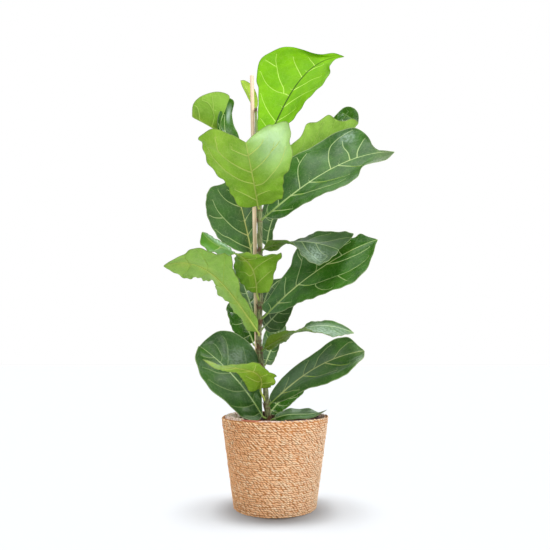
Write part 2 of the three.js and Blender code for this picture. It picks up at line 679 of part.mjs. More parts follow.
// A point of the blade: u runs from foot to tip, t from -1 at the left margin to 1 at the right.
function bladePoint(leaf, u, t) {
  const side = t < 0 ? 'left' : 'right';
  const sign = t < 0 ? -1 : 1;
  const middle = midrib(leaf, u);
  const along = midrib(leaf, u + 0.01).sub(midrib(leaf, u - 0.01)).normalize();
  const reach = margin(leaf, side, u).sub(middle);
  const across = reach.clone().addScaledVector(along, -reach.dot(along)).normalize().multiplyScalar(sign);
  const upward = across.clone().cross(along);
  const a = Math.abs(t);
  const [height, count, start] = leaf.wave;
  const shift = sign < 0 ? start : start + leafBody.waveOffset;
  const ripple = height * a * a * Math.sin(2 * Math.PI * (count * u + shift));
  const widthFade = Math.min(reach.length() / leafBody.waveWidth, 1);
  const fade = widthFade * Math.sin(Math.PI * u) ** leafBody.waveEndFade;
  const bulge = leaf.camber[sign < 0 ? 0 : 1] * reach.length() * 4 * a * (1 - a);
  return middle.addScaledVector(reach, a).addScaledVector(upward, bulge + ripple * fade);
}

// On the midrib the normal is the mean of the two halves' normals beside it.
function bladeNormal(leaf, u, t) {
  const nearU = THREE.MathUtils.clamp(u, probe.end, 1 - probe.end);
  const normalAt = (nearT) => {
    const alongU = bladePoint(leaf, nearU + probe.u, nearT).sub(bladePoint(leaf, nearU - probe.u, nearT));
    const alongT = bladePoint(leaf, nearU, nearT + probe.t).sub(bladePoint(leaf, nearU, nearT - probe.t));
    return alongT.cross(alongU).normalize();
  };
  if (Math.abs(t) < probe.middle / 2) {
    return normalAt(probe.middle).add(normalAt(-probe.middle)).normalize();
  }
  return normalAt(THREE.MathUtils.clamp(t, probe.margin - 1, 1 - probe.margin));
}

// The blade has two alike sheets, joined round the margin. Each sheet starts and ends in a point.
// The lower one is drawn down along the middle into the ridge of the midrib.
function bladeGeometry(leaf, grid) {
  const columns = 2 * grid.across.length + 2;
  const share = (u, j) => {
    const step = j - columns / 2;
    if (step === 0) return 0;
    const side = step < 0 ? 'left' : 'right';
    const reach = margin(leaf, side, u).distanceTo(midrib(leaf, u));
    const rib = Math.min(leafBody.ribHalfWidth / reach, leafBody.ribMaxShare);
    const size = Math.abs(step) === 1 ? rib : grid.across[Math.abs(step) - 2];
    return Math.sign(step) * size;
  };
  const positions = [];
  const sheets = [1, -1].map((face) => grid.rows.map((u) => {
    const isPoint = u === 0 || u === 1;
    const row = [];
    for (let j = 0; j <= columns; j += 1) {
      if (isPoint && j > 0) {
        row.push(row[0]);
      } else {
        const t = isPoint ? 0 : share(u, j);
        const depth = THREE.MathUtils.lerp(leafBody.ribDepth, leafBody.ribTipDepth, u);
        const ridge = t === 0 && face < 0 ? depth : 0;
        const point = bladePoint(leaf, u, t);
        point.addScaledVector(bladeNormal(leaf, u, t), face * (leafBody.thickness / 2 + ridge));
        row.push(positions.length / 3);
        positions.push(...point.toArray());
      }
    }
    return row;
  }));
  const index = [];
  const triangle = (a, b, c, isFlipped) => {
    if (a === b || b === c || c === a) return;
    if (isFlipped) index.push(a, c, b);
    else index.push(a, b, c);
  };
  sheets.forEach((rows, sheet) => {
    for (let i = 0; i + 1 < rows.length; i += 1) {
      for (let j = 0; j < columns; j += 1) {
        triangle(rows[i][j], rows[i][j + 1], rows[i + 1][j + 1], sheet === 1);
        triangle(rows[i][j], rows[i + 1][j + 1], rows[i + 1][j], sheet === 1);
      }
    }
  });
  const [top, bottom] = sheets;
  [0, columns].forEach((j) => {
    for (let i = 0; i + 1 < top.length; i += 1) {
      triangle(top[i][j], top[i + 1][j], bottom[i + 1][j], j > 0);
      triangle(top[i][j], bottom[i + 1][j], bottom[i][j], j > 0);
    }
  });
  const geometry = new THREE.BufferGeometry();
  geometry.setAttribute('position', new THREE.Float32BufferAttribute(positions, 3));
  geometry.setIndex(index);
  return geometry;
}

// The stalk leaves the stem at the node and ends inside the midrib's ridge.
function stalkGeometry(leaf) {
  const foot = stemAt(leaf.node);
  const base = midrib(leaf, 0);
  const direction = midrib(leaf, 0.05).sub(base).normalize();
  const reach = base.distanceTo(foot);
  const out = foot.clone().lerp(base, leafBody.stalkLean);
  if (leaf.around) out.set(...leaf.around, out.z);
  const back = base.clone().addScaledVector(direction, -leafBody.stalkBend * reach);
  const curve = new THREE.CubicBezierCurve3(foot, out, back, base);
  const points = leafBody.stalkSteps.map((part) => curve.getPoint(part));
  const radii = points.map(() => leafBody.stalkRadius);
  leafBody.stalkEnd.forEach(([u, size]) => {
    const radius = leafBody.stalkRadius * size;
    const point = midrib(leaf, u);
    point.addScaledVector(bladeNormal(leaf, u, 0), -radius);
    points.push(point);
    radii.push(radius);
  });
  return rod(points, radii, leafBody.stalkSides);
}

function makeLeaf(leaf) {
  const blade = solidOf(bladeGeometry(leaf, grids[leaf.grid]));
  const stalk = solidOf(stalkGeometry(leaf));
  const whole = blade.add(stalk).subtract(stemClearance);
  addPiece(leaf.name, whole, materials[leaf.look]);
}

makeBasket();
makeLiner();
makePot();
makeSoil();
addPiece('stem', stemSolid, materials.bark);
addPiece('stake', stakeSolid, materials.dowel);
tie.heights.forEach((height, i) => makeTie(`tie_${i + 1}`, height));
leaves.forEach(makeLeaf);

export default object;
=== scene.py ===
# A young fiddle leaf fig in a seagrass basket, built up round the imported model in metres: the floor,
# the basket with its liner and nursery pot, the soil, the stem with its stake, and then the leaves.

import math
import random

import bpy
import numpy as np
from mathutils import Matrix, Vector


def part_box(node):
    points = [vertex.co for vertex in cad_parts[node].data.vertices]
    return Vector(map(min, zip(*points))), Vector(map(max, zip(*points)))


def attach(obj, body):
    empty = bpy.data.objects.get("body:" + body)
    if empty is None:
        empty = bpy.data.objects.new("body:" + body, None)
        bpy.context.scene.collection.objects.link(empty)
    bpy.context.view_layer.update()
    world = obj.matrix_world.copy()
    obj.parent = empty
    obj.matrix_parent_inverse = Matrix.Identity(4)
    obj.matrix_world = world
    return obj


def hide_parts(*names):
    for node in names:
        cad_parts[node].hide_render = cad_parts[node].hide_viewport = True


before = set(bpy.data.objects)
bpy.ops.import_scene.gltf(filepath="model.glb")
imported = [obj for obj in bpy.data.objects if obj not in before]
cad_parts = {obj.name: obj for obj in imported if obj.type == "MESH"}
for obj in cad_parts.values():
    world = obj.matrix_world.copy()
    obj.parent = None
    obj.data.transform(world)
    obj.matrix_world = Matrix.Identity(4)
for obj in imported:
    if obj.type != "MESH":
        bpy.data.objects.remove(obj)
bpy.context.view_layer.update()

# The studio
# A seamless white floor and background, as in a catalogue photograph. Broad soft light falls from
# overhead, a window lights the front right and a weak fill the front left, and cool softboxes
# above, beside and behind draw the gloss on the leaves.

CAMERA_PLACE = (0, -1.161, 0.311)
CAMERA_TILT = math.radians(9.8)
CAMERA_FOCUS = 500 / 550  # focal length in frame widths
SENSOR = 36
SURROUND_LIGHT = 0.25  # brightness of the white studio as a lamp, against 1 as a backdrop
FLOOR_SIZE = 60
FLOOR_TONE = (0.40, 0.412, 0.43, 1)
AIM = np.array([0, 0, 0.6])  # the softboxes point at the middle of the plant


def select(*pieces):
    # The first of them becomes the active one. Without any, all are deselected.
    bpy.ops.object.select_all(action="DESELECT")
    for piece in reversed(pieces):
        piece.select_set(True)
        bpy.context.view_layer.objects.active = piece


def shader_node(tree, kind, output, inputs=None, **settings):
    # A socket among the inputs is linked, and any other value is set.
    made = tree.nodes.new("ShaderNode" + kind)
    for key, value in settings.items():
        setattr(made, key, value)
    for key, value in (inputs or {}).items():
        if isinstance(value, bpy.types.NodeSocket):
            tree.links.new(value, made.inputs[key])
        else:
            made.inputs[key].default_value = value
    return made.outputs[output]


class Paint:
    """A material. Each call adds a node and gives its output, and surface links the last ones up."""

    def __init__(self, name, **values):
        self.material = bpy.data.materials.new(name)
        self.material.use_nodes = True
        self.tree = self.material.node_tree
        self.shader = self.tree.nodes["Principled BSDF"]
        for key, value in values.items():
            self.shader.inputs[key.replace("_", " ")].default_value = value

    def node(self, kind, output, inputs=None, **settings):
        return shader_node(self.tree, kind, output, inputs, **settings)

    def attribute(self, name):
        return self.node("Attribute", "Fac", attribute_name=name)

    def place(self):
        return self.node("TexCoord", "Object")

    def noise(self, place, scale, detail, roughness=0.5, distortion=0):
        inputs = {"Scale": scale, "Detail": detail, "Roughness": roughness, "Distortion": distortion}
        return self.node("TexNoise", "Fac", {"Vector": place, **inputs})

    def maths(self, kind, first, second=0.0, third=0.0, **settings):
        return self.node("Math", 0, {0: first, 1: second, 2: third}, operation=kind, **settings)

    def scaled(self, vector, by):
        return self.node("VectorMath", 0, {0: vector, 1: by}, operation="MULTIPLY")

    def ranged(self, value, start, end, low, high, kind="LINEAR"):
        inputs = {"Value": value, 1: start, 2: end, 3: low, 4: high}
        return self.node("MapRange", 0, inputs, interpolation_type=kind)

    def blend(self, share, first, second):
        return self.node("Mix", 2, {0: share, 6: first, 7: second}, data_type="RGBA")

    def blend_value(self, share, first, second):
        return self.node("Mix", 0, {0: share, 2: first, 3: second}, data_type="FLOAT")

    def ramp(self, share, *stops):
        # Each stop is (position, red, green, blue), and the positions rise.
        output = self.node("ValToRGB", 0, {"Fac": share})
        elements = output.node.color_ramp.elements
        for number in range(1, len(stops) - 1):
            elements.new(number / len(stops))
        for element, (position, *colour) in zip(elements, stops):
            element.position = position
            element.color = (*colour, 1)
        return output

    def surface(self, colour, relief=None, strength=0, distance=0):
        self.tree.links.new(colour, self.shader.inputs["Base Color"])
        if relief:
            inputs = {"Height": relief, "Strength": strength, "Distance": distance}
            self.tree.links.new(self.node("Bump", 0, inputs), self.shader.inputs["Normal"])
        return self.material


select()
bpy.ops.mesh.primitive_plane_add(size=FLOOR_SIZE, location=(0, 0, 0))
floor = bpy.context.object
floor.name = "floor"
floor_white = Paint("floor_white", Roughness=0.9, Base_Color=FLOOR_TONE, Specular_IOR_Level=0)
floor.data.materials.append(floor_white.material)

world = bpy.data.worlds.new("white_studio")
world.use_nodes = True
background = world.node_tree.nodes["Background"]
background.inputs["Color"].default_value = (1, 1, 1, 1)
seen = shader_node(world.node_tree, "LightPath", "Is Camera Ray")
strength = shader_node(
    world.node_tree, "Math", 0, {0: seen, 1: 1 - SURROUND_LIGHT, 2: SURROUND_LIGHT}, operation="MULTIPLY_ADD"
)
world.node_tree.links.new(strength, background.inputs["Strength"])
bpy.context.scene.world = world
bpy.context.scene.view_settings.view_transform = "Standard"

# One broad light shines down on the plant, and four on the floor alone. The floor is left out of
# every other light, so its one shadow is the soft wide one round the basket's foot.
without_floor = bpy.data.collections.new("without_floor")
without_floor.objects.link(floor)
without_floor.collection_objects[0].light_linking.link_state = "EXCLUDE"
floor_only = bpy.data.collections.new("floor_only")
floor_only.objects.link(floor)
basket_only = bpy.data.collections.new("basket_only")  # filled where the basket is made

# name: strength, breadth and tilt to the side in degrees
OVERHEAD_LIGHTS = {
    "overhead_light": (2.6, 95, 0),
    "floor_light": (3.3, 20, 0),
    "floor_light_left": (1.95, 24, -22),
    "floor_light_right": (1.95, 24, 22),
    "floor_fill": (0.12, 120, 0),
}
FLOOR_LIGHT_LEAN = math.radians(7.5)  # the floor lights come from a little behind
for name, (strength, breadth, tilt) in OVERHEAD_LIGHTS.items():
    bpy.ops.object.light_add(type="SUN", location=(0, 0, 3))
    light = bpy.context.object
    light.name = name
    light.data.energy = strength
    light.data.angle = math.radians(breadth)
    light.light_linking.receiver_collection = without_floor
    if name.startswith("floor"):
        light.rotation_euler = (-FLOOR_LIGHT_LEAN, math.radians(tilt), 0)
        light.data.use_shadow = name != "floor_fill"
        light.light_linking.receiver_collection = floor_only
        light.light_linking.blocker_collection = basket_only

# name: place, size, power, colour
SOFTBOXES = {
    "window_light": ((2.0, -1.75, 1.6), 1.3, 49, (1.0, 0.99, 0.97)),
    "front_fill": ((-1.3, -2.2, 0.8), 1.2, 9, (1.0, 0.99, 0.97)),
    "side_light": ((2.2, 0.7, 1.6), 0.6, 12, (0.95, 0.98, 1.0)),
    "upper_light": ((-0.25, -1.3, 2.5), 0.6, 10, (0.95, 0.98, 1.0)),
    "back_light": ((0.3, 1.4, 2.3), 1.0, 10, (0.93, 0.97, 1.0)),
}
for name, (place, size, power, colour) in SOFTBOXES.items():
    bpy.ops.object.light_add(type="AREA", location=place)
    softbox = bpy.context.object
    softbox.name = name
    softbox.data.size = size
    softbox.data.energy = power
    softbox.data.color = colour
    aim = AIM - np.array(place)
    pitch = math.atan2(math.hypot(aim[0], aim[1]), -aim[2])
    softbox.rotation_euler = (pitch, 0, math.atan2(aim[1], aim[0]) - math.pi / 2)
    softbox.light_linking.receiver_collection = without_floor

bpy.ops.object.camera_add(location=CAMERA_PLACE, rotation=(math.pi / 2 + CAMERA_TILT, 0, 0))
camera = bpy.context.object
camera.data.sensor_width = SENSOR
camera.data.lens = CAMERA_FOCUS * SENSOR
bpy.context.scene.camera = camera

# The basket
# Seagrass rope laid round and round and sewn row to row: each row shows the slanting strands of
# the twisted rope. A plain ribbed wall and base carry the strands, which are copies of one.

MM = 0.001
BASKET_RIM = 120 * MM
BASKET_BASE = 90.5 * MM
BASKET_HEIGHT = 190 * MM
BASKET_WALL = 6 * MM
BASKET_FLOOR = 6 * MM
BASKET_FOOT = 0.3 * MM
WALL_DEPTH = 2.0 * MM  # how far the carrying wall lies behind the strands' outer faces
ROPE_ROWS = 43
ROW_HEIGHT = (BASKET_HEIGHT - 2 * MM) / ROPE_ROWS
ROW_BULGE = 0.5 * MM
OUTER_GROOVE = 0.4 * MM  # depth of the seams between rows, outside and inside
INNER_GROOVE = 0.9 * MM
WALL_EDGE = (BASKET_RIM - 3 * MM, BASKET_HEIGHT - 0.6 * MM)  # the middle of the wall's upper edge
STRANDS_ROUND = 98
STRAND_LENGTH = 10.5 * MM
STRAND_THICKNESS = 3.8 * MM
STRAND_SLANT = math.radians(22)
# Standard deviations by which the strands differ
SPACING_SPREAD = 0.17  # as a share of the space for one
SIZE_SPREAD = (0.12, 0.1, 0.1)  # as shares of the length and of both thicknesses
SLANT_SPREAD = 0.14
HEIGHT_SPREAD = 0.3 * MM
DEPTH_SPREAD = 0.35 * MM
TINT_SPREAD = 0.25
ROW_TINT_SPREAD = 0.05
ROW_WANDER = 0.35 * MM  # each row rises and sinks by this on its way round
RIM_WAVE = 3.8 * MM  # the rim rides up by this from the front round to the right
RIM_WAVE_COURSE = ([0, 0.08, 1.8, 2.4], [0, 1, 1, 0])  # radians from the front, share of the wave
RIM_WAVE_ROWS = 4


def basket_radius(height):
    return BASKET_BASE + (BASKET_RIM - BASKET_BASE) * height / BASKET_HEIGHT


def finished_piece(piece, name, material, slot, *nodes):
    piece.name = name
    piece.data.name = name
    piece.data.materials.clear()
    piece.data.materials.append(material)
    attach(piece, "root")
    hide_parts(*nodes)


def reshape(piece, name, points, faces, edges=()):
    mesh = bpy.data.meshes.new(name)
    mesh.from_pydata(np.asarray(points).tolist(), list(edges), faces)
    piece.data = mesh


def turned_piece(profile, sides):
    # A profile of (radius, height) points is spun once round the vertical.
    select()
    bpy.ops.mesh.primitive_plane_add(size=1)
    piece = bpy.context.object
    points = [(radius, 0, height) for radius, height in profile]
    reshape(piece, "turned", points, [], [(i, i + 1) for i in range(len(points) - 1)])
    bpy.ops.object.mode_set(mode="EDIT")
    bpy.ops.mesh.select_all(action="SELECT")
    bpy.ops.mesh.spin(steps=sides, angle=2 * math.pi, center=(0, 0, 0), axis=(0, 0, 1))
    bpy.ops.mesh.select_all(action="SELECT")
    bpy.ops.mesh.remove_doubles(threshold=0.02 * MM)
    bpy.ops.mesh.normals_make_consistent(inside=False)
    bpy.ops.object.mode_set(mode="OBJECT")
    bpy.ops.object.shade_smooth_by_angle(angle=math.radians(50))
    return piece


def mesh_points(piece):
    values = np.empty(len(piece.data.vertices) * 3)
    piece.data.vertices.foreach_get("co", values)
    return values.reshape(-1, 3)


def set_points(piece, points):
    piece.data.vertices.foreach_set("co", np.ascontiguousarray(points, dtype=float).ravel())
    piece.data.update()


def set_attributes(piece, **marks):
    # Each mark has a value for every point, or one value for all of them.
    for name, values in marks.items():
        attribute = piece.data.attributes.get(name) or piece.data.attributes.new(name, "FLOAT", "POINT")
        values = np.broadcast_to(np.asarray(values, dtype=np.float32), len(piece.data.vertices))
        attribute.data.foreach_set("value", np.ascontiguousarray(values))


profile = [(0, BASKET_FOOT), (BASKET_BASE - WALL_DEPTH, BASKET_FOOT)]
for row in range(ROPE_ROWS):
    middle = (row + 0.5) * ROW_HEIGHT
    seam = middle + ROW_HEIGHT / 2
    profile.append((basket_radius(middle) - WALL_DEPTH + ROW_BULGE, middle))
    profile.append((basket_radius(seam) - WALL_DEPTH - OUTER_GROOVE, seam))
profile.append(WALL_EDGE)
for row in reversed(range(2, ROPE_ROWS)):
    seam = (row + 0.98) * ROW_HEIGHT
    middle = (row + 0.5) * ROW_HEIGHT
    profile.append((basket_radius(seam) - BASKET_WALL + INNER_GROOVE, seam))
    profile.append((basket_radius(middle) - BASKET_WALL, middle))
profile.append((basket_radius(BASKET_FLOOR) - BASKET_WALL, BASKET_FLOOR))
profile.append((0, BASKET_FLOOR))
basket_wall = turned_piece(profile, sides=96)

# One strand: a slim spindle, pointed at both ends.
select()
bpy.ops.mesh.primitive_uv_sphere_add(segments=6, ring_count=4, radius=1)
basket_rope = bpy.context.object
strand = mesh_points(basket_rope)[:, [2, 0, 1]]
taper = 1 - 0.25 * np.abs(strand[:, 0]) ** 2
strand *= np.array([STRAND_LENGTH / 2, 0.5 * STRAND_THICKNESS, 0.5 * STRAND_THICKNESS])
strand[:, 1:] *= taper[:, None]
strand_faces = [list(face.vertices) for face in basket_rope.data.polygons]

draw = random.Random(4)
all_points, all_faces = [], []
marks = {"tint": [], "fibre_along": [], "fibre_across": [], "depth": []}
for row in range(ROPE_ROWS):
    height = (row + 0.5) * ROW_HEIGHT
    radius = basket_radius(height) - 0.5 * STRAND_THICKNESS
    in_row = STRANDS_ROUND + draw.choice((-5, -3, -1, 0, 2, 4))
    shift = draw.random()
    row_tint = draw.gauss(0, ROW_TINT_SPREAD)
    near_rim = max(0, (row - ROPE_ROWS + RIM_WAVE_ROWS + 1) / RIM_WAVE_ROWS)
    wander = draw.random() * 6.28
    for place in range(in_row):
        around = 2 * math.pi * (place + shift + draw.gauss(0, SPACING_SPREAD)) / in_row
        size = 1 + np.array([draw.gauss(0, spread) for spread in SIZE_SPREAD])
        size[0] *= radius / BASKET_RIM * 1.06
        slant = STRAND_SLANT + draw.gauss(0, SLANT_SPREAD)
        turn = np.array([
            [math.cos(slant), 0, math.sin(slant)],
            [0, 1, 0],
            [-math.sin(slant), 0, math.cos(slant)],
        ])
        local = (strand * size) @ turn.T
        lift = height + draw.gauss(0, HEIGHT_SPREAD) + ROW_WANDER * math.sin(3 * around + wander)
        lift += RIM_WAVE * near_rim * float(np.interp(around % (2 * math.pi), *RIM_WAVE_COURSE))
        swing = around + local[:, 0] / radius
        out = radius - local[:, 1] + draw.gauss(0, DEPTH_SPREAD)
        points = np.stack([out * np.sin(swing), -out * np.cos(swing), local[:, 2] + lift], axis=1)
        points[:, 2] = np.maximum(points[:, 2], 0.2 * MM)
        first = len(all_points) * len(strand)
        all_points.append(points)
        all_faces.extend([corner + first for corner in face] for face in strand_faces)
        tint = np.clip(0.5 + row_tint + draw.gauss(0, TINT_SPREAD), 0, 1)
        marks["tint"].append(np.full(len(strand), tint))
        marks["fibre_along"].append(strand[:, 0] / MM + draw.random() * 300)
        marks["fibre_across"].append(np.arctan2(strand[:, 2], strand[:, 1]))
        # How far in toward the wall each point of the strand lies, which sets the painted shade of the
        # crevices.
        marks["depth"].append(strand[:, 1] / STRAND_THICKNESS + 0.5)
reshape(basket_rope, "basket_rope", np.concatenate(all_points), all_faces)
set_attributes(basket_rope, **{name: np.concatenate(values) for name, values in marks.items()})
select(basket_rope)
bpy.ops.object.shade_smooth()

# Dry seagrass: straw to reddish brown from strand to strand, with fine darker fibres along each. Painted
# shade darkens the crevices between the strands, and painted light turns the right side, toward the window,
# a paler beige.
paint = Paint("seagrass", Roughness=0.78)
along, across = paint.attribute("fibre_along"), paint.attribute("fibre_across")
fibre_place = paint.scaled(paint.node("CombineXYZ", 0, {"X": along, "Y": across}), (0.09, 2.2, 1))
fibre = paint.noise(fibre_place, 1.6, 4, 0.6)
place = paint.place()
patches = paint.maths("MULTIPLY_ADD", paint.noise(place, 14, 2), 0.5, -0.25)
tone = paint.maths("ADD", paint.attribute("tint"), patches, use_clamp=True)
straw = paint.ramp(tone, (0.05, 0.86, 0.42, 0.18), (0.5, 0.94, 0.53, 0.26), (0.95, 0.98, 0.70, 0.43))
# Painted light: the strands turn a paler beige toward the right, the side the window lights.
painted_right_light = paint.ranged(paint.node("SeparateXYZ", "X", {0: place}), -0.08, 0.11, 0, 0.5)
straw_with_painted_light = paint.blend(painted_right_light, straw, (0.70, 0.58, 0.43, 1))
# Painted shade: each strand darkens toward its sides and the wall, where the crevices between strands are.
painted_crevice_shade = paint.ranged(paint.attribute("depth"), 0.22, 0.62, 1.14, 0.3)
fibres_and_painted_shade = paint.maths("MULTIPLY", paint.ranged(fibre, 0.3, 0.75, 0.62, 1.12), painted_crevice_shade)
seagrass = paint.surface(paint.scaled(straw_with_painted_light, fibres_and_painted_shade), fibre, 0.5, 0.0006)
finished_piece(basket_rope, "basket_rope", seagrass, "seagrass", "basket")

# The wall behind the strands is the same rope seen deeper in: it is rougher, and its colour is darker with
# painted shade.
paint = Paint("rope_core", Roughness=0.9)
twist = paint.noise(paint.place(), 160, 5, 0.7)
core_tone = paint.ramp(twist, (0.3, 0.36, 0.13, 0.035), (0.75, 0.74, 0.34, 0.12))
rope_core = paint.surface(core_tone, twist, 0.7, 0.001)
finished_piece(basket_wall, "basket_wall", rope_core, "seagrass", "basket")
basket_only.objects.link(basket_wall)

# The liner
# A bag of thin pale plastic film that keeps the basket dry. It is slack, so its edge wanders and
# it creases from rim to base, and at the left the edge is folded over the pot's lip.

LINER_THICKNESS = 0.5 * MM
LINER_TOP = 187.5 * MM
LINER_FOOT = 6.4 * MM
LINER_CLEAR = BASKET_WALL + 1.3 * MM
LINER_ROWS = 24
CREASES_FROM = 20 * MM  # from the middle of the bag's base outwards
CREASE_DEPTH = 0.7 * MM
CRUMPLE_DEPTH = 0.7 * MM  # of the folded edge
EDGE_STEP = 0.4 * MM
# How far in and how high, in mm, the edge runs where it is folded over the pot's lip
FOLDED_EDGE = [(0, 187.5), (1.5, 191.5), (5, 193.4), (11, 193.2), (14, 190), (15, 184), (15.5, 178)]
FOLD_MIDDLE = math.radians(-172)
FOLD_REACH = math.radians(53)
FOLD_FADE = math.radians(14)


def smooth_step(share):
    share = np.clip(share, 0, 1)
    return share * share * (3 - 2 * share)


def thicken(piece, thickness):
    select(piece)
    body = piece.modifiers.new("body", "SOLIDIFY")
    body.thickness = thickness
    body.offset = 0
    bpy.ops.object.modifier_apply(modifier="body")


profile = [(0, LINER_FOOT)]
for i in range(LINER_ROWS + 1):
    height = LINER_FOOT + (LINER_TOP - LINER_FOOT) * i / LINER_ROWS
    profile.append((basket_radius(height) - LINER_CLEAR, height))
edge_radius = profile[-1][0]
profile += [(edge_radius, LINER_TOP + i * EDGE_STEP) for i in range(1, len(FOLDED_EDGE))]
liner = turned_piece(profile, sides=160)
points = mesh_points(liner)
angle = np.arctan2(points[:, 1], points[:, 0])
radius = np.hypot(points[:, 0], points[:, 1])
rise = np.clip((points[:, 2] - LINER_FOOT) / (LINER_TOP - LINER_FOOT), 0, 1)
fold_step = np.clip((points[:, 2] - LINER_TOP) / EDGE_STEP, 0, len(FOLDED_EDGE) - 1)
steps = range(len(FOLDED_EDGE))
inset, raised = (np.interp(fold_step, steps, column) * MM for column in zip(*FOLDED_EDGE))
from_fold = np.abs((angle - FOLD_MIDDLE) % (2 * math.pi))
from_fold = np.minimum(from_fold, 2 * math.pi - from_fold)
folded = smooth_step((FOLD_REACH - from_fold) / FOLD_FADE)
crease = np.sin(23 * angle + 4 * rise) * np.sin(9 * angle + 1) + 0.5 * np.sin(41 * angle + 9 * rise)
crumple = np.sin(37 * angle + 1.7 * fold_step) + 0.7 * np.sin(61 * angle - 2.3 * fold_step)
slack = (radius > CREASES_FROM) * (0.5 * crease - 0.5) * CREASE_DEPTH
slack -= folded * inset + (fold_step > 0) * folded * CRUMPLE_DEPTH * crumple
points[:, 2] += (fold_step > 0) * folded * (raised - points[:, 2] + 0.5 * MM * crumple)
# Elsewhere the edge waves, dips at the front left and stands up beside that.
front_left = np.exp(-(((angle + 2.15) / 0.28) ** 2))
at_front = np.exp(-(((angle + 1.75) / 0.24) ** 2))
edge_wave = 0.8 + 0.6 * np.sin(5 * angle + 1) - 4 * front_left + 2.3 * at_front
points[:, 2] += (1 - folded) * edge_wave * MM * rise**12
points[:, 0] += np.cos(angle) * slack
points[:, 1] += np.sin(angle) * slack
set_points(liner, points)
thicken(liner, LINER_THICKNESS)

paint = Paint("liner_film", Roughness=0.28)
wrinkle = paint.noise(paint.place(), 150, 3, distortion=1)
# The film's own pale pink turns brown in the hollows of its wrinkles: painted shade that follows the wrinkle
# bump.
film_tone_and_painted_shade = paint.ramp(wrinkle, (0.35, 0.50, 0.28, 0.17), (0.62, 1.0, 0.84, 0.77))
finished_piece(liner, "liner", paint.surface(film_tone_and_painted_shade, wrinkle, 0.6, 0.002), "film", "liner")

# The nursery pot
# A moulded terracotta-coloured plastic pot with a thick rolled lip, painted dark inside as painted shade. It
# stands in the basket a little forward and to the left of the middle, its lip just above the rim.

POT_PLACE = np.array([-3, -4, 0]) * MM
POT_LIP = 106 * MM
POT_BASE = 76 * MM
POT_TOP = 191.5 * MM
POT_WALL = 2.2 * MM
LIP_WIDTH = 4 * MM
LIP_HEIGHT = 9 * MM

pot_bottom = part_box("nursery_pot")[0][2]
pot_slope = (POT_LIP - LIP_WIDTH - POT_BASE) / (POT_TOP - pot_bottom)


def pot_radius(height):
    return POT_BASE + pot_slope * (height - pot_bottom)


lip_foot = POT_TOP - LIP_HEIGHT
lip_inside = pot_radius(POT_TOP) - POT_WALL
profile = [
    (0, pot_bottom),
    (POT_BASE - 2 * MM, pot_bottom),
    (POT_BASE, pot_bottom + 2 * MM),
    (pot_radius(lip_foot), lip_foot),
    (POT_LIP - 1 * MM, lip_foot),
    (POT_LIP, lip_foot + 1 * MM),
    (POT_LIP, POT_TOP - 1.2 * MM),
    (POT_LIP - 0.5 * MM, POT_TOP - 0.3 * MM),
    (POT_LIP - 1.4 * MM, POT_TOP),
    (lip_inside + 1.2 * MM, POT_TOP),
    (lip_inside + 0.3 * MM, POT_TOP - 0.4 * MM),
    (lip_inside, POT_TOP - 1.4 * MM),
    (pot_radius(pot_bottom) - POT_WALL, pot_bottom + POT_WALL),
    (0, pot_bottom + POT_WALL),
]
nursery_pot = turned_piece(profile, sides=120)
points = mesh_points(nursery_pot)
# Painted shade: the wall inside and the right half of the lip are painted the soil's dark brown.
inside = np.hypot(points[:, 0], points[:, 1]) < pot_radius(points[:, 2]) - 0.9 * POT_WALL
inside = inside * (points[:, 2] < POT_TOP - 1 * MM)
lip_painted_shade = np.clip(3.8 - 2 * np.abs(np.arctan2(points[:, 1], points[:, 0])), 0, 0.9)
set_attributes(nursery_pot, soiled=np.maximum(inside, lip_painted_shade))
set_points(nursery_pot, points + POT_PLACE)

paint = Paint("terracotta_plastic", Roughness=0.42)
scuffs = paint.noise(paint.place(), 60, 6, 0.65)
plastic_tone = paint.ramp(scuffs, (0.3, 0.50, 0.12, 0.065), (0.8, 0.66, 0.24, 0.16))
soiled = paint.blend(paint.attribute("soiled"), plastic_tone, (0.045, 0.022, 0.013, 1))
terracotta = paint.surface(soiled, scuffs, 0.15, 0.0006)
finished_piece(nursery_pot, "nursery_pot", terracotta, "pot_plastic", "nursery_pot")

# The soil
# Dark peat that fills the pot to a finger's breadth under its rim, uneven, with coarse crumbs and
# a few pale grains of grit pressed into it.

SOIL_LEVEL = 168 * MM
SOIL_CROWN = 4 * MM
SOIL_RIPPLE = 0.8 * MM
SOIL_GRAIN = 0.45 * MM
CRUMBS = 420
GRIT_SHARE = 0.06
BARE_SPOTS = [(-13, 4, 10), (-35, 19, 8)]  # round the stem and the stake: x, y and radius in mm


def soil_height(x, y):
    share = np.hypot(x, y) / pot_radius(SOIL_LEVEL)
    ripple = np.sin(x / (9 * MM) + 1) * np.cos(y / (11 * MM)) + np.sin((x + y) / (17 * MM))
    return SOIL_LEVEL + SOIL_CROWN * (1 - share**2) + SOIL_RIPPLE * ripple


soil_edge = pot_radius(SOIL_LEVEL) - POT_WALL - 0.6 * MM
soil_foot = pot_bottom + POT_WALL + 0.4 * MM
profile = [(0, soil_foot), (pot_radius(soil_foot) - POT_WALL - 0.8 * MM, soil_foot)]
profile += [(soil_edge * share, SOIL_LEVEL) for share in np.linspace(1, 0, 34)]
soil = turned_piece(profile, sides=96)
points = mesh_points(soil)
upper = points[:, 2] > SOIL_LEVEL - 0.5 * MM
draw = np.random.default_rng(11)
points[upper, 2] = soil_height(points[upper, 0], points[upper, 1]) + draw.normal(0, SOIL_GRAIN, upper.sum())
set_points(soil, points + POT_PLACE)

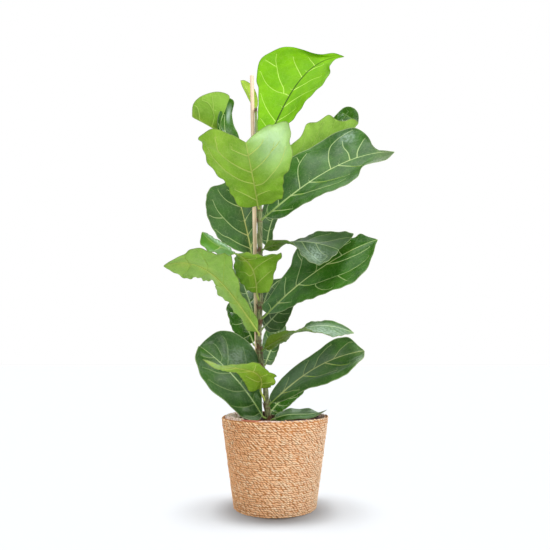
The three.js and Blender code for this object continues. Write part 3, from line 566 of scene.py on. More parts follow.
select()
bpy.ops.mesh.primitive_ico_sphere_add(subdivisions=1, radius=1)
soil_crumbs = bpy.context.object
crumb = mesh_points(soil_crumbs)
crumb_faces = np.array([list(face.vertices) for face in soil_crumbs.data.polygons])
all_points, all_faces, grit = [], [], []
for i in range(CRUMBS):
    angle = draw.uniform(0, 2 * math.pi)
    reach = (soil_edge - 4 * MM) * math.sqrt(draw.uniform(0, 1))
    x, y = reach * math.cos(angle), reach * math.sin(angle)
    if any(math.hypot(x - at_x * MM, y - at_y * MM) < bare * MM for at_x, at_y, bare in BARE_SPOTS):
        continue
    size = draw.uniform(0.9, 3.2) * MM * np.array([1, draw.uniform(0.6, 1), draw.uniform(0.5, 0.8)])
    shape = crumb * size * draw.uniform(0.75, 1.2, crumb.shape)
    turn_by = draw.uniform(0, 6.28)
    turn = np.array([
        [math.cos(turn_by), -math.sin(turn_by), 0],
        [math.sin(turn_by), math.cos(turn_by), 0],
        [0, 0, 1],
    ])
    place = np.array([x, y, soil_height(x, y) + 0.2 * size[2]]) + POT_PLACE
    all_faces += (crumb_faces + len(all_points) * len(crumb)).tolist()
    all_points.append(shape @ turn.T + place)
    grit.append(np.full(len(crumb), float(draw.random() < GRIT_SHARE)))
reshape(soil_crumbs, "soil_crumbs", np.concatenate(all_points), all_faces)
set_attributes(soil_crumbs, grit=np.concatenate(grit))

paint = Paint("peat", Roughness=0.95)
grain = paint.noise(paint.place(), 220, 6, 0.75)
peat_tone = paint.ramp(grain, (0.3, 0.012, 0.007, 0.004), (0.75, 0.085, 0.05, 0.03))
gritty = paint.blend(paint.attribute("grit"), peat_tone, (0.45, 0.42, 0.36, 1))
peat = paint.surface(gritty, grain, 1.0, 0.0015)
finished_piece(soil, "soil", peat, "soil", "soil")
finished_piece(soil_crumbs, "soil_crumbs", peat, "soil", "soil")

# The stem
# A young woody stem that grows up out of the soil, olive-grey and smooth, with a swollen ring and
# a scar at every leaf's node, fine pale pores, and dry red-brown scales left from the buds.

STEM_PATH = np.array([
    (-16, 0, 90), (-16, 0, 171), (-16, 0, 192), (-20, 0, 225), (-21, 0, 245), (-28, 0, 287),
    (-33, 0, 319), (-38, 0, 360), (-35, 0, 434), (-34, 0, 476), (-36, 0, 596), (-37, 0, 671),
    (-43, 0, 785), (-46, 0, 877), (-48, 0, 935),
], dtype=float) * MM
STEM_ROOT = 6.6 * MM
STEM_MIDDLE = 5.6 * MM
STEM_TIP = 2.8 * MM
TIP_TAPER = 0.28  # the share of the stem that thins to its tip
NODE_SWELLING = 0.8 * MM
NODE_SPREAD = 2.6 * MM
SCAR_SPREAD = 1.6 * MM
STEM_RINGS = 420
STEM_WOBBLE = 0.35 * MM
GREEN_FROM = 550 * MM  # above this the bark turns green
GREEN_FADE = 380 * MM

# Each leaf. node is the height of its stalk's foot on the stem in mm, and rib has four points at
# equal steps up the midrib. left and right are stations on the margins as seen on the upper side
# with the tip up: the hundredths of the way to the tip, x, y, z. courses are side veins, each a
# row of places on the blade: hundredths of its length, and of the half's width, left negative.
# Outlines and courses were read off the photograph, and the depths and what is hidden there were
# chosen. The other words are told at LEAF_DEFAULTS.
LEAVES = {
    "leaf_00": dict(
        node=925, look="bud", wave=(1, 3, 0), veins=(0.1, 0.1, 0.2), tones=(0, 1.08, 0, 1.08),
        rib=[(-48, 14, 935), (-58, 24, 968), (-72, 26, 999), (-89, 26, 1026)],
        left=[(8, -53, 22, 943), (38, -67, 34, 976), (68, -79, 34, 1001), (90, -87, 30, 1018)],
        right=[(8, -45, 14, 946), (38, -46, 19, 979), (68, -60, 20, 1010), (90, -80, 23, 1025)],
    ),
    "leaf_01": dict(
        node=785, look="lime",
        rib=[(-27, 8, 838), (13, 28, 934), (78, 45, 1053), (185, 45, 1106)],
        left=[
            (8, -38, 3, 846), (20, -43, 1, 880), (38, -43, 12, 942), (50, -43, 28, 1006),
            (58, -48, 30, 1035), (66, -41, 36, 1085), (75, -16, 40, 1112), (83, 27, 42, 1133),
            (90, 74, 45, 1128), (95, 122, 45, 1112), (98, 159, 45, 1116),
        ],
        right=[
            (8, -15, 5, 839), (38, 42, -5, 901), (55, 79, -15, 946), (68, 114, -15, 986),
            (80, 139, 0, 1034), (88, 143, 15, 1063), (95, 163, 35, 1093),
        ],
        courses=[
            [(26, 0), (35, -49), (42, -80), (47, -92)],
            [(48, 0), (50, -21), (51, -41), (54, -64), (62, -93)],
            [(50, -21), (55, -29), (62, -49), (68, -64), (77, -89)], [(68, -64), (69, -94)],
            [(64, 0), (70, -20), (75, -39), (80, -62)], [(77, 0), (80, -14), (84, -40)],
            [(15, 0), (24, -50), (30, -85)], [(27, 0), (36, 36), (46, 62)],
            [(38, 0), (51, 31), (60, 56), (66, 80)], [(52, 0), (61, 19), (69, 33), (75, 56)],
            [(69, 0), (76, 7), (83, 20)], [(14, 0), (22, 40), (30, 75)],
        ],
    ),
    "leaf_02": dict(
        node=668, look="young", wave=(3, 3, 0.1), blush=0.15, pucker=1.6, frill=2,
        bloom=(0.8, -0.6, 0.22, 0.45, 0.4),
        notches=[(-1, 0.86, 13, 0.03), (-1, 0.68, 7, 0.03), (-1, 0.45, 5, 0.05), (1, 0.9, 7, 0.03)],
        rib=[(-41, -12, 677), (-47, -85, 705), (-53, -160, 724), (-58, -225, 741)],
        left=[
            (8, -12, -20, 679), (18, 14, -40, 687), (38, 20, -80, 707), (55, 35, -115, 745),
            (68, 38, -140, 785), (78, 30, -165, 810), (86, 4, -190, 806), (94, -35, -210, 772),
        ],
        right=[
            (8, -76, -20, 671), (20, -100, -45, 690), (38, -116, -80, 716), (55, -152, -115, 747),
            (68, -159, -140, 778), (76, -160, -160, 786), (84, -129, -185, 789), (92, -94, -205, 768),
        ],
        courses=[
            [(8, 0), (23, 45), (29, 75)], [(34, 0), (41, 30), (48, 46), (56, 61), (62, 76), (69, 83)],
            [(52, 0), (61, 25), (68, 45), (78, 61), (82, 80)], [(78, 0), (80, 18), (81, 35)],
            [(31, 0), (40, -33), (51, -51), (60, -68), (68, -80)],
            [(54, 0), (62, -18), (67, -30), (72, -43), (78, -53)], [(72, -43), (75, -64)],
            [(79, 0), (82, -15), (84, -29), (87, -45)], [(15, 0), (27, -35), (31, -54)],
        ],
    ),
    "leaf_03": dict(
        node=767, camber=(-0.12, -0.12), wave=(2, 2, 0.1), tones=(0, 1.1, 0, 1.1), blush=0.6,
        bloom=(0.68, 0.84, 0.07, 0.045, 0.9),
        rib=[(-69, 0, 798), (-103, -35, 829), (-144, -75, 845), (-188, -105, 857)],
        left=[
            (8, -83, -10, 791), (38, -132, -75, 841), (55, -126, -100, 872), (68, -103, -105, 908),
            (80, -138, -120, 910), (90, -173, -122, 893), (96, -186, -115, 876),
        ],
        right=[
            (8, -67, 5, 810), (38, -90, 15, 860), (60, -106, 5, 911), (80, -108, -15, 951),
            (92, -143, -60, 924),
        ],
        courses=[
            [(76, 0), (82, 34), (91, 55)], [(69, 0), (74, -30), (82, -64), (87, -81)],
            [(77, -45), (79, -66), (81, -89)], [(88, 0), (91, -58), (94, -86)],
            [(40, 0), (51, 45), (61, 66), (70, 72)], [(20, 0), (30, 50), (38, 80)],
            [(30, 0), (40, -50), (47, -85)], [(50, 0), (58, -50), (64, -85)],
        ],
    ),
    "leaf_04": dict(
        node=703, camber=(-0.15, -0.1), wave=(2, 3, 0.2), veins=(0.08, 0.1, 0.17),
        tones=(0, 1, 0, 1.04), vein_show=0.45,
        rib=[(-17, 22, 729), (51, 45, 795), (138, 65, 858), (219, 70, 928)],
        left=[
            (8, -7, 30, 729), (38, 75, 105, 856), (60, 137, 125, 937), (75, 169, 125, 982),
            (84, 193, 118, 1003), (92, 218, 105, 989), (97, 226, 90, 959),
        ],
        right=[
            (8, -17, 15, 752), (30, 37, 10, 839), (40, 65, 8, 866), (48, 78, 8, 895),
            (60, 108, 12, 905), (70, 136, 20, 928), (78, 154, 28, 920), (86, 177, 35, 918),
            (93, 204, 45, 929), (97, 215, 55, 927),
        ],
    ),
    "leaf_05": dict(
        node=641, wave=(3, 3, 0.1), tones=(-0.35, 0.95, 0, 1), blush=0.5, matte=0.13, frill=0.6,
        furrow=(3.2, 1.1, 0.5), bloom=(0.73, -0.76, 0.045, 0.15, 0.32), crumpled=0.8, dry_tip=0.3,
        rib=[(-25, -8, 650), (66, -35, 717), (168, -55, 771), (279, -65, 791)],
        left=[
            (8, -17, -3, 680), (20, 5, -8, 743), (38, 36, -15, 792), (55, 90, -20, 825),
            (70, 155, -30, 857), (80, 197, -40, 861), (88, 224, -50, 832), (93, 234, -58, 801),
            (97, 259, -62, 795),
        ],
        right=[
            (8, 0, -15, 644), (30, 64, -60, 666), (45, 96, -90, 680), (60, 138, -115, 683),
            (75, 179, -120, 711), (85, 201, -100, 743), (93, 241, -85, 757), (97, 260, -75, 770),
        ],
        courses=[
            [(2, 0), (6, -90)], [(13, 0), (15, -44), (17, -80)],
            [(31, 0), (35, -41), (39, -65), (43, -76), (50, -90)], [(42, -74), (43, -94)],
            [(55, 0), (58, -38), (62, -69), (67, -81), (77, -93)],
            [(69, 0), (70, -29), (69, -55), (70, -74)], [(74, 0), (76, -24), (80, -50), (84, -78)],
            [(6, 0), (15, 50), (22, 85)], [(23, 0), (36, 43), (46, 64), (56, 68), (65, 66)],
            [(38, 0), (48, 28), (59, 38), (68, 46)], [(60, 0), (70, 20), (80, 40)],
        ],
    ),
    "leaf_06": dict(
        node=543, around=(-30, 34), wave=(3, 3, 0.1), tones=(0.1, 0.9, 0, 1), blush=1.1, matte=0.3,
        rib=[(-56, 31, 566), (-69, 40, 629), (-86, 50, 699), (-103, 60, 774)],
        left=[
            (8, -78, 24, 570), (20, -116, 16, 588), (38, -145, 15, 615), (50, -161, 15, 650),
            (62, -169, 15, 685), (75, -168, 20, 718), (86, -155, 30, 742), (94, -129, 45, 755),
        ],
        right=[(8, -49, 40, 578), (38, -46, 80, 642), (68, -47, 100, 729), (90, -71, 85, 773)],
        courses=[
            [(64, 0), (68, -20), (73, -40), (84, -72)],
            [(27, 0), (34, -19), (42, -36), (54, -56), (61, -68), (70, -80)],
            [(53, -55), (53, -79), (55, -93)], [(8, 0), (18, -40), (30, -62), (36, -81), (42, -93)],
            [(80, 0), (86, -40)], [(46, 0), (54, 40), (60, 70)], [(10, 0), (20, 50), (28, 85)],
            [(28, 0), (36, 50), (43, 85)], [(66, 0), (73, 50), (80, 80)],
        ],
    ),
    "leaf_07": dict(
        node=567, wave=(3, 3, 0.1), veins=(0.1, 0.12, 0.18), tones=(0.1, 0.8, 0, 1), matte=0.5,
        rib=[(-21, 20, 586), (-13, 75, 646), (5, 135, 712), (42, 195, 772)],
        left=[(8, -30, 22, 594), (38, -33, 80, 655), (68, -30, 150, 731), (90, 6, 190, 782)],
        right=[
            (8, -10, 22, 590), (30, -3, 55, 636), (50, 13, 90, 688), (70, 56, 130, 730),
            (90, 70, 175, 774),
        ],
    ),
    "leaf_08": dict(
        node=357, look="young", wave=(5, 5, 0.1), veins=(0.12, 0.1, 0.17), tones=(0, 1, 0.05, 0.97),
        blush=0.5, vein_show=0.35, frill=1.8, bloom=(0.5, 0, 2, 5, 0.07),
        rib=[(-39, -8, 377), (-94, -45, 456), (-159, -75, 514), (-244, -90, 516)],
        left=[
            (8, -39, -20, 404), (20, -58, -45, 433), (38, -77, -75, 470), (55, -89, -105, 513),
            (63, -96, -120, 533), (75, -130, -133, 538), (86, -175, -130, 543), (92, -198, -122, 536),
            (97, -226, -105, 524),
        ],
        right=[
            (8, -64, -5, 382), (20, -81, -8, 412), (38, -116, -10, 449), (48, -135, -10, 477),
            (58, -144, -12, 496), (72, -173, -20, 498), (86, -206, -45, 500), (95, -232, -75, 508),
        ],
    ),
    "leaf_09": dict(
        node=557, veins=(0.1, 0.12, 0.19), tones=(-0.5, 0.48, 0, 0.7), blush=0.2, matte=0.4,
        vein_show=0.7, pucker=0.8, bloom=(0.68, 0.5, 0.13, 0.4, 0.26), crumpled=0.8,
        rib=[(-28, -8, 572), (32, -50, 579), (86, -85, 569), (139, -100, 550)],
        left=[
            (8, -12, -5, 568), (18, 5, -5, 571), (28, 24, -10, 585), (38, 45, -20, 588),
            (50, 72, -30, 598), (62, 95, -38, 607), (75, 135, -50, 602), (86, 165, -65, 600),
            (95, 172, -80, 583),
        ],
        right=[
            (8, -16, -20, 589), (18, 2, -45, 585), (30, 31, -85, 572), (42, 45, -115, 556),
            (55, 59, -135, 526), (70, 87, -145, 509), (85, 117, -135, 523), (95, 133, -115, 539),
        ],
    ),
    "leaf_10": dict(
        node=403, tones=(-0.2, 1, 0, 1), blush=0.6, matte=0.16, vein_show=0.9, furrow=(2, 1.1, 0.5),
        bloom=(0.12, 0, 0.25, 2, 0.05),
        rib=[(-18, -8, 419), (54, -40, 483), (141, -65, 540), (229, -80, 578)],
        left=[
            (8, -31, -2, 433), (20, -16, -8, 456), (35, 12, -15, 495), (50, 35, -20, 529),
            (62, 44, -28, 558), (75, 72, -35, 578), (86, 155, -50, 589), (92, 181, -58, 589),
            (96, 196, -65, 595), (98, 209, -70, 587),
        ],
        right=[
            (8, 0, -15, 420), (25, 40, -55, 432), (38, 61, -80, 443), (50, 90, -100, 449),
            (65, 135, -120, 463), (75, 162, -125, 475), (85, 193, -120, 502), (93, 212, -105, 537),
            (97, 219, -95, 559),
        ],
        courses=[
            [(4, 0), (14, -74)], [(20, 0), (30, -59), (39, -88)],
            [(31, 0), (37, -33), (48, -64), (60, -76)], [(57, -73), (61, -88), (65, -96)],
            [(48, 0), (57, -29), (66, -50), (74, -62)], [(70, 0), (78, -35), (86, -60)],
            [(12, 0), (19, 45), (24, 66)], [(33, 0), (39, 24), (47, 39), (64, 49), (80, 53), (90, 61)],
            [(47, 39), (48, 55), (53, 79), (60, 92)], [(64, 49), (67, 66), (71, 84)],
            [(57, 0), (66, 11), (76, 16), (92, 22)],
        ],
    ),
    "leaf_11": dict(
        node=445, look="young", wave=(2, 4, 0.1), tones=(0, 0.6, 0, 0.9), blush=0.4, frill=2.4,
        bloom=(0.75, 0.75, 0.2, 0.25, 0.4), crumpled=0.9,
        notches=[(1, 0.35, -9, 0.16), (-1, 0.5, 4, 0.03)],
        rib=[(-42, -12, 467), (-62, -80, 529), (-106, -125, 546), (-152, -150, 577)],
        left=[
            (8, -18, -20, 467), (25, 2, -50, 519), (36, 15, -85, 545), (48, -23, -135, 529),
            (62, -67, -165, 529), (74, -103, -175, 523), (86, -135, -175, 531), (95, -153, -165, 556),
        ],
        right=[
            (8, -58, -15, 471), (20, -76, -30, 490), (38, -88, -55, 532), (50, -87, -75, 546),
            (65, -103, -95, 559), (80, -128, -120, 571), (92, -145, -140, 577),
        ],
        courses=[
            [(5, 0), (17, -46), (24, -85)], [(19, 0), (28, -30), (34, -55), (38, -85)],
            [(4, 0), (8, 50), (12, 86)], [(17, 0), (19, 31), (26, 51), (30, 91)],
            [(36, 0), (44, -50), (50, -85)], [(34, 0), (42, 50), (47, 85)],
            [(55, 0), (63, -50), (69, -85)], [(52, 0), (60, 50), (66, 85)], [(73, 0), (80, -50)],
            [(70, 0), (77, 50)],
        ],
    ),
    "leaf_12": dict(
        node=431, wave=(3, 3, 0.1), veins=(0.1, 0.12, 0.19), tones=(0, 0.55, 0, 1), matte=0.6,
        rib=[(-26, 12, 447), (-17, 70, 481), (5, 140, 517), (50, 205, 550)],
        left=[
            (8, -31, 14, 461), (38, -32, 70, 501), (60, -8, 120, 520), (80, 24, 170, 535),
            (92, 41, 190, 550),
        ],
        right=[
            (8, -19, 18, 446), (20, -7, 38, 454), (38, 7, 72, 467), (68, 44, 115, 492),
            (90, 62, 170, 524),
        ],
    ),
    "leaf_13": dict(
        node=394, around=(-30, 36), wave=(3, 3, 0.1), veins=(0.08, 0.1, 0.19), matte=0.15,
        rib=[(-50, 32, 413), (-64, 62, 460), (-82, 105, 511), (-99, 150, 567)],
        left=[(8, -60, 30, 415), (38, -81, 60, 455), (68, -105, 100, 511), (90, -109, 140, 555)],
        right=[(8, -43, 40, 423), (38, -43, 90, 473), (68, -53, 140, 538), (90, -75, 155, 574)],
    ),
    "leaf_14": dict(
        node=337, around=(-28, 34),
        rib=[(-52, 31, 354), (-70, 48, 395), (-92, 75, 431), (-107, 105, 468)],
        left=[(8, -61, 27, 351), (38, -92, 26, 370), (60, -108, 38, 404), (85, -119, 70, 446)],
        right=[(8, -43, 38, 366), (38, -47, 80, 422), (68, -69, 115, 459), (90, -90, 120, 472)],
        courses=[
            [(42, 0), (46, -23), (57, -83)], [(14, 0), (22, -50), (28, -85)], [(66, 0), (74, -60)],
            [(20, 0), (30, 50), (37, 85)], [(44, 0), (54, 50), (61, 85)], [(68, 0), (76, 55)],
        ],
    ),
    "leaf_15": dict(
        node=373, veins=(0.1, 0.12, 0.21), tones=(0, 0.5, 0, 0.6), matte=0.3,
        rib=[(-26, 10, 390), (-7, 35, 411), (19, 52, 439), (55, 72, 469)],
        left=[(8, -32, 14, 402), (38, -18, 24, 429), (68, 12, 42, 474), (90, 42, 66, 485)],
        right=[(8, -19, 10, 381), (38, 16, 20, 384), (60, 34, 38, 413), (80, 45, 54, 442)],
    ),
    "leaf_16": dict(
        node=330, wave=(3, 5, 0.1), veins=(0.08, 0.1, 0.18), tones=(-0.3, 0.9, 0.25, 0.75), blush=0.5,
        matte=0.3, vein_show=0.15, pucker=0.3, bloom=(0.75, 0.3, 0.25, 0.8, 0.24), crumpled=0.7,
        notches=[(1, 0.87, 4, 0.02), (1, 0.78, 3, 0.02), (1, 0.7, 4, 0.02), (1, 0.62, 3, 0.02)],
        rib=[(-25, -8, 339), (20, -50, 365), (81, -90, 385), (166, -110, 369)],
        left=[
            (8, -16, -5, 337), (25, 14, -8, 350), (40, 36, -20, 369), (50, 54, -40, 382),
            (65, 81, -60, 396), (80, 115, -78, 398), (92, 151, -98, 384),
        ],
        right=[
            (8, -20, -20, 356), (20, -9, -40, 370), (35, 19, -80, 374), (50, 52, -125, 377),
            (65, 79, -148, 372), (78, 104, -155, 362), (90, 138, -140, 363),
        ],
    ),
    "leaf_17": dict(
        node=296, veins=(0.1, 0.12, 0.2), matte=0.3,
        rib=[(-22, 12, 305), (-10, 60, 338), (5, 110, 374), (21, 160, 413)],
        left=[(8, -30, 15, 310), (38, -32, 65, 348), (68, -23, 120, 390), (90, 0, 155, 418)],
        right=[
            (8, -12, 12, 303), (30, 2, 40, 321), (50, 12, 65, 353), (70, 20, 100, 374),
            (90, 29, 140, 399),
        ],
    ),
    "leaf_18": dict(
        node=184, wave=(2, 2, 0.1), tones=(-0.2, 0.72, 0, 1), matte=0.2, vein_show=0.42,
        bloom=(0.66, 0.5, 0.1, 0.45, 0.1), crumpled=1,
        rib=[(-28, -12, 191), (-71, -28, 255), (-122, -38, 309), (-168, -40, 344)],
        left=[
            (8, -41, -18, 181), (20, -70, -30, 190), (38, -98, -55, 219), (55, -143, -72, 257),
            (70, -162, -80, 291), (82, -171, -70, 322), (93, -169, -50, 343),
        ],
        right=[
            (8, -28, -8, 202), (38, -32, 0, 263), (55, -34, 0, 310), (68, -51, 0, 344),
            (78, -73, -5, 364), (86, -103, -15, 378), (93, -136, -25, 375), (97, -156, -35, 358),
        ],
        courses=[
            [(3, 0), (10, -60), (18, -86)], [(14, 0), (20, -44), (29, -76), (36, -93)],
            [(29, 0), (38, -36), (46, -56), (53, -68), (60, -80)],
            [(51, 0), (59, -31), (67, -51), (72, -74)], [(74, 0), (80, -35), (84, -60)],
            [(17, 0), (22, 30), (28, 60)], [(37, 0), (43, 28), (50, 48), (58, 64), (65, 73), (72, 81)],
            [(56, 0), (65, 22), (73, 39), (79, 54), (88, 80)], [(66, 0), (71, 16), (80, 28), (88, 40)],
        ],
    ),
    "leaf_19": dict(
        node=216, look="young", wave=(2, 4, 0.1), tones=(0, 1, 0.1, 1.05), blush=0.5, vein_show=0.9,
        bloom=(0.85, 0, 0.2, 1, 0.25), crumpled=0.6,
        notches=[(-1, 0.36, 7, 0.02), (-1, 0.27, 6, 0.02), (-1, 0.17, 5, 0.02)],
        rib=[(-32, -18, 252), (-41, -75, 287), (-85, -135, 299), (-142, -170, 315)],
        left=[
            (8, -16, -25, 253), (20, -2, -45, 260), (30, 4, -70, 278), (42, -19, -110, 297),
            (55, -38, -145, 307), (70, -78, -165, 306), (82, -103, -175, 302), (92, -126, -175, 312),
        ],
        right=[
            (8, -53, -25, 245), (20, -65, -45, 262), (35, -75, -70, 280), (50, -90, -95, 291),
            (65, -108, -125, 292), (80, -121, -150, 298), (92, -133, -165, 307),
        ],
        courses=[
            [(13, 0), (17, 28), (27, 49), (36, 60)], [(22, 0), (32, -38), (35, -69)],
            [(3, 0), (18, -46), (24, -79)], [(42, 0), (50, 50), (56, 85)],
            [(40, 0), (48, -50), (53, -85)], [(62, 0), (70, 50)], [(60, 0), (68, -50)],
        ],
    ),
    "leaf_20": dict(
        node=175, veins=(0.1, 0.12, 0.2), tones=(-0.7, 0.84, 0, 1), matte=0.12, vein_show=0.1,
        pucker=0.1, frill=0.2, dry_tip=0.8,
        rib=[(-2, -8, 185), (35, -30, 197), (71, -45, 199), (112, -55, 209)],
        left=[(8, 2, 0, 192), (38, 32, 10, 204), (68, 74, 0, 206), (88, 101, -30, 201)],
        right=[(8, 4, -18, 181), (38, 32, -50, 189), (68, 66, -66, 192), (88, 93, -66, 199)],
    ),
    "leaf_21": dict(
        node=207, tones=(0.2, 0.78, 0, 1), blush=0.5, matte=0.2, vein_show=0.75, frill=0.4,
        furrow=(3.2, 1.1, 0.5), bloom=(0.35, -0.3, 0.33, 0.8, 0.13),
        rib=[(-9, -8, 219), (52, -45, 273), (116, -75, 312), (189, -95, 333)],
        left=[
            (8, -12, -3, 232), (20, 7, -10, 265), (38, 43, -20, 297), (60, 100, -35, 339),
            (78, 143, -50, 362), (87, 163, -65, 362), (94, 180, -80, 343),
        ],
        right=[
            (8, 4, -18, 221), (25, 43, -60, 240), (38, 69, -85, 258), (55, 108, -115, 268),
            (70, 138, -130, 283), (85, 164, -130, 303), (95, 185, -110, 320),
        ],
        courses=[
            [(15, 0), (22, -36), (28, -65)], [(38, 0), (43, -45), (49, -80)],
            [(50, 0), (53, -28), (57, -64), (64, -81), (70, -84)],
            [(71, 0), (76, -38), (82, -60), (89, -85)], [(12, 0), (22, 45), (30, 80)],
            [(38, 0), (48, 36), (59, 45), (68, 50)], [(62, 0), (72, 30), (82, 50)],
        ],
    ),
    "leaf_22": dict(
        node=179, veins=(0.1, 0.12, 0.21),
        rib=[(-12, 8, 194), (5, 25, 214), (31, 45, 235), (64, 55, 256)],
        left=[(8, -16, 12, 202), (38, -7, 40, 229), (68, 14, 65, 260), (90, 46, 65, 272)],
        right=[(8, -2, 10, 191), (38, 23, 20, 203), (68, 54, 40, 227), (90, 69, 52, 244)],
    ),
}


def stem_at(height):
    return np.array([np.interp(height, STEM_PATH[:, 2], STEM_PATH[:, axis]) for axis in range(2)] + [height])


def stem_radius(height):
    share = (height - STEM_PATH[0, 2]) / (STEM_PATH[-1, 2] - STEM_PATH[0, 2])
    body = STEM_ROOT + (STEM_MIDDLE - STEM_ROOT) * share
    return body + (STEM_TIP - body) * smooth_step((share - 1 + TIP_TAPER) / TIP_TAPER)


def rods(name, lines, roundness=3, closed=False):
    # Each line is a list of points with a radius at each. Together they become one mesh.
    curve = bpy.data.curves.new(name, "CURVE")
    curve.dimensions = "3D"
    curve.bevel_depth = 1.0
    curve.bevel_resolution = roundness
    curve.use_fill_caps = not closed
    for points, radii in lines:
        spline = curve.splines.new("POLY")
        spline.points.add(len(points) - 1)
        spline.use_cyclic_u = closed
        for knot, point, radius in zip(spline.points, points, radii):
            knot.co = (*point, 1)
            knot.radius = radius
    piece = bpy.data.objects.new(name, curve)
    bpy.context.collection.objects.link(piece)
    select(piece)
    bpy.ops.object.convert(target="MESH")
    bpy.ops.object.shade_smooth_by_angle(angle=math.radians(60))
    return piece


node_heights = np.array([leaf["node"] for leaf in LEAVES.values()]) * MM
heights = np.linspace(STEM_PATH[0, 2], STEM_PATH[-1, 2], STEM_RINGS)
draw = np.random.default_rng(5)
wobble = np.convolve(draw.normal(0, 1, STEM_RINGS + 20), np.ones(9) / 9, "same")[:STEM_RINGS] * STEM_WOBBLE
radii = [
    stem_radius(h) + wobble[i] + NODE_SWELLING * np.exp(-(((h - node_heights) / NODE_SPREAD) ** 2)).max()
    for i, h in enumerate(heights)
]
stem = rods("stem", [([stem_at(h) for h in heights], radii)], roundness=8)
points = mesh_points(stem)
gap_to_node = np.abs(points[:, 2][:, None] - node_heights[None, :]).min(axis=1)
set_attributes(
    stem,
    scar=np.exp(-((gap_to_node / SCAR_SPREAD) ** 2)),
    youth=np.clip((points[:, 2] - GREEN_FROM) / GREEN_FADE, 0, 1),
)

paint = Paint("bark", Roughness=0.62)
place = paint.place()
streaks = paint.noise(paint.scaled(place, (1, 1, 0.3)), 260, 5)
old_bark = paint.ramp(streaks, (0.32, 0.055, 0.06, 0.016), (0.72, 0.33, 0.36, 0.16))
green_bark = paint.blend(paint.attribute("youth"), old_bark, (0.20, 0.28, 0.06, 1))
pores = paint.node("TexVoronoi", "Distance", {"Vector": place, "Scale": 260})
pored = paint.blend(paint.ranged(pores, 0.12, 0.2, 0.7, 0), green_bark, (0.42, 0.36, 0.24, 1))
scar = paint.maths("MULTIPLY", paint.attribute("scar"), 0.75)
bark = paint.surface(paint.blend(scar, pored, (0.14, 0.055, 0.022, 1)), streaks, 0.6, 0.0008)
finished_piece(stem, "stem", bark, "bark", "stem")

# Dry scales left from the buds: slim papery points that clasp the stem at each node, across from
# the stalk.
SCALE_LENGTH = 13 * MM
SCALE_THICKNESS = 0.35 * MM
SCALE_ROWS = 8
SCALE_COLUMNS = 6
draw = random.Random(8)
scales = []
for leaf in LEAVES.values():
    foot = leaf["node"] * MM
    stalk_side = math.atan2(leaf["rib"][0][1], leaf["rib"][0][0] - stem_at(foot)[0] / MM)
    for side in (-1, 1):
        select()
        bpy.ops.mesh.primitive_grid_add(x_subdivisions=SCALE_COLUMNS, y_subdivisions=SCALE_ROWS, size=2)
        scale = bpy.context.object
        points = mesh_points(scale)
        across, up = points[:, 0], (points[:, 1] + 1) / 2
        length = SCALE_LENGTH * draw.uniform(0.5, 1.1)
        width = draw.uniform(0.5, 0.85)
        lean = draw.uniform(0.02, 0.3)
        angle = stalk_side + math.pi + side * draw.uniform(0.3, 1.1) + across * width * (1 - up) ** 0.7
        height = foot + up * length + 1 * MM
        centre = np.array([stem_at(h) for h in height])
        out = stem_radius(height) + NODE_SWELLING + 0.25 * MM + lean * length * up**2
        out = out + 0.5 * MM * np.sin(3 * up + 5 * across)
        centre[:, 0] += out * np.cos(angle)
        centre[:, 1] += out * np.sin(angle)
        set_points(scale, centre)
        scales.append(scale)
select(*scales)
bpy.ops.object.join()
stem_scales = bpy.context.object
thicken(stem_scales, SCALE_THICKNESS)
bpy.ops.object.shade_smooth_by_angle(angle=math.radians(60))

paint = Paint("dry_scale", Roughness=0.7)
streaks = paint.noise(paint.scaled(paint.place(), (1, 1, 0.15)), 500, 4)
scale_tone = paint.ramp(streaks, (0.3, 0.06, 0.022, 0.01), (0.75, 0.26, 0.14, 0.07))
finished_piece(stem_scales, "stem_scales", paint.surface(scale_tone), "bark", "stem")

# The stake
# A sanded softwood dowel pushed into the soil just behind the stem, sawn off square at the top,
# with its edge broken, darker toward the top and with the soil's damp drawn a little way up its foot.

STAKE_TOP = np.array([-59, 9, 1028]) * MM
STAKE_ENTRY = np.array([-38, 15, 173]) * MM
STAKE_DEPTH = 120 * MM
STAKE_RADIUS = 5 * MM
STAKE_EDGE = 0.6 * MM
DARKENING_HEIGHTS = (0.70, 0.92)  # where the darkening starts and is full
DAMP_HEIGHTS = (0.172, 0.2)  # where the damp is full and ends

stake_down = (STAKE_ENTRY - STAKE_TOP) / np.linalg.norm(STAKE_ENTRY - STAKE_TOP)
stake_foot = STAKE_ENTRY + stake_down * STAKE_DEPTH
select()
bpy.ops.mesh.primitive_cylinder_add(
    vertices=40,
    radius=STAKE_RADIUS,
    depth=np.linalg.norm(stake_foot - STAKE_TOP),
    location=(STAKE_TOP + stake_foot) / 2,
    rotation=(math.atan2(stake_down[1], -stake_down[2]), math.atan2(-stake_down[0], -stake_down[2]), 0),
)
stake = bpy.context.object
broken_edge = stake.modifiers.new("broken_edge", "BEVEL")
broken_edge.width = STAKE_EDGE
broken_edge.segments = 3
broken_edge.limit_method = "ANGLE"
bpy.ops.object.modifier_apply(modifier="broken_edge")
bpy.ops.object.transform_apply(location=True, rotation=True, scale=True)
bpy.ops.object.shade_smooth_by_angle(angle=math.radians(50))

paint = Paint("softwood_dowel", Roughness=0.6)
place = paint.place()
grain = paint.noise(paint.scaled(place, (1, 1, 0.035)), 420, 5, 0.6)
wood_tone = paint.ramp(grain, (0.3, 0.95, 0.65, 0.40), (0.68, 1.0, 0.82, 0.60))
height = paint.node("SeparateXYZ", "Z", {0: place})
darker_above = paint.blend(paint.ranged(height, *DARKENING_HEIGHTS, 0, 1), wood_tone, (0.82, 0.60, 0.42, 1))
damp = paint.blend(paint.ranged(height, *DAMP_HEIGHTS, 0.75, 0), darker_above, (0.22, 0.12, 0.06, 1))
finished_piece(stake, "stake", paint.surface(damp, grain, 0.25, 0.0005), "stake_wood", "stake")

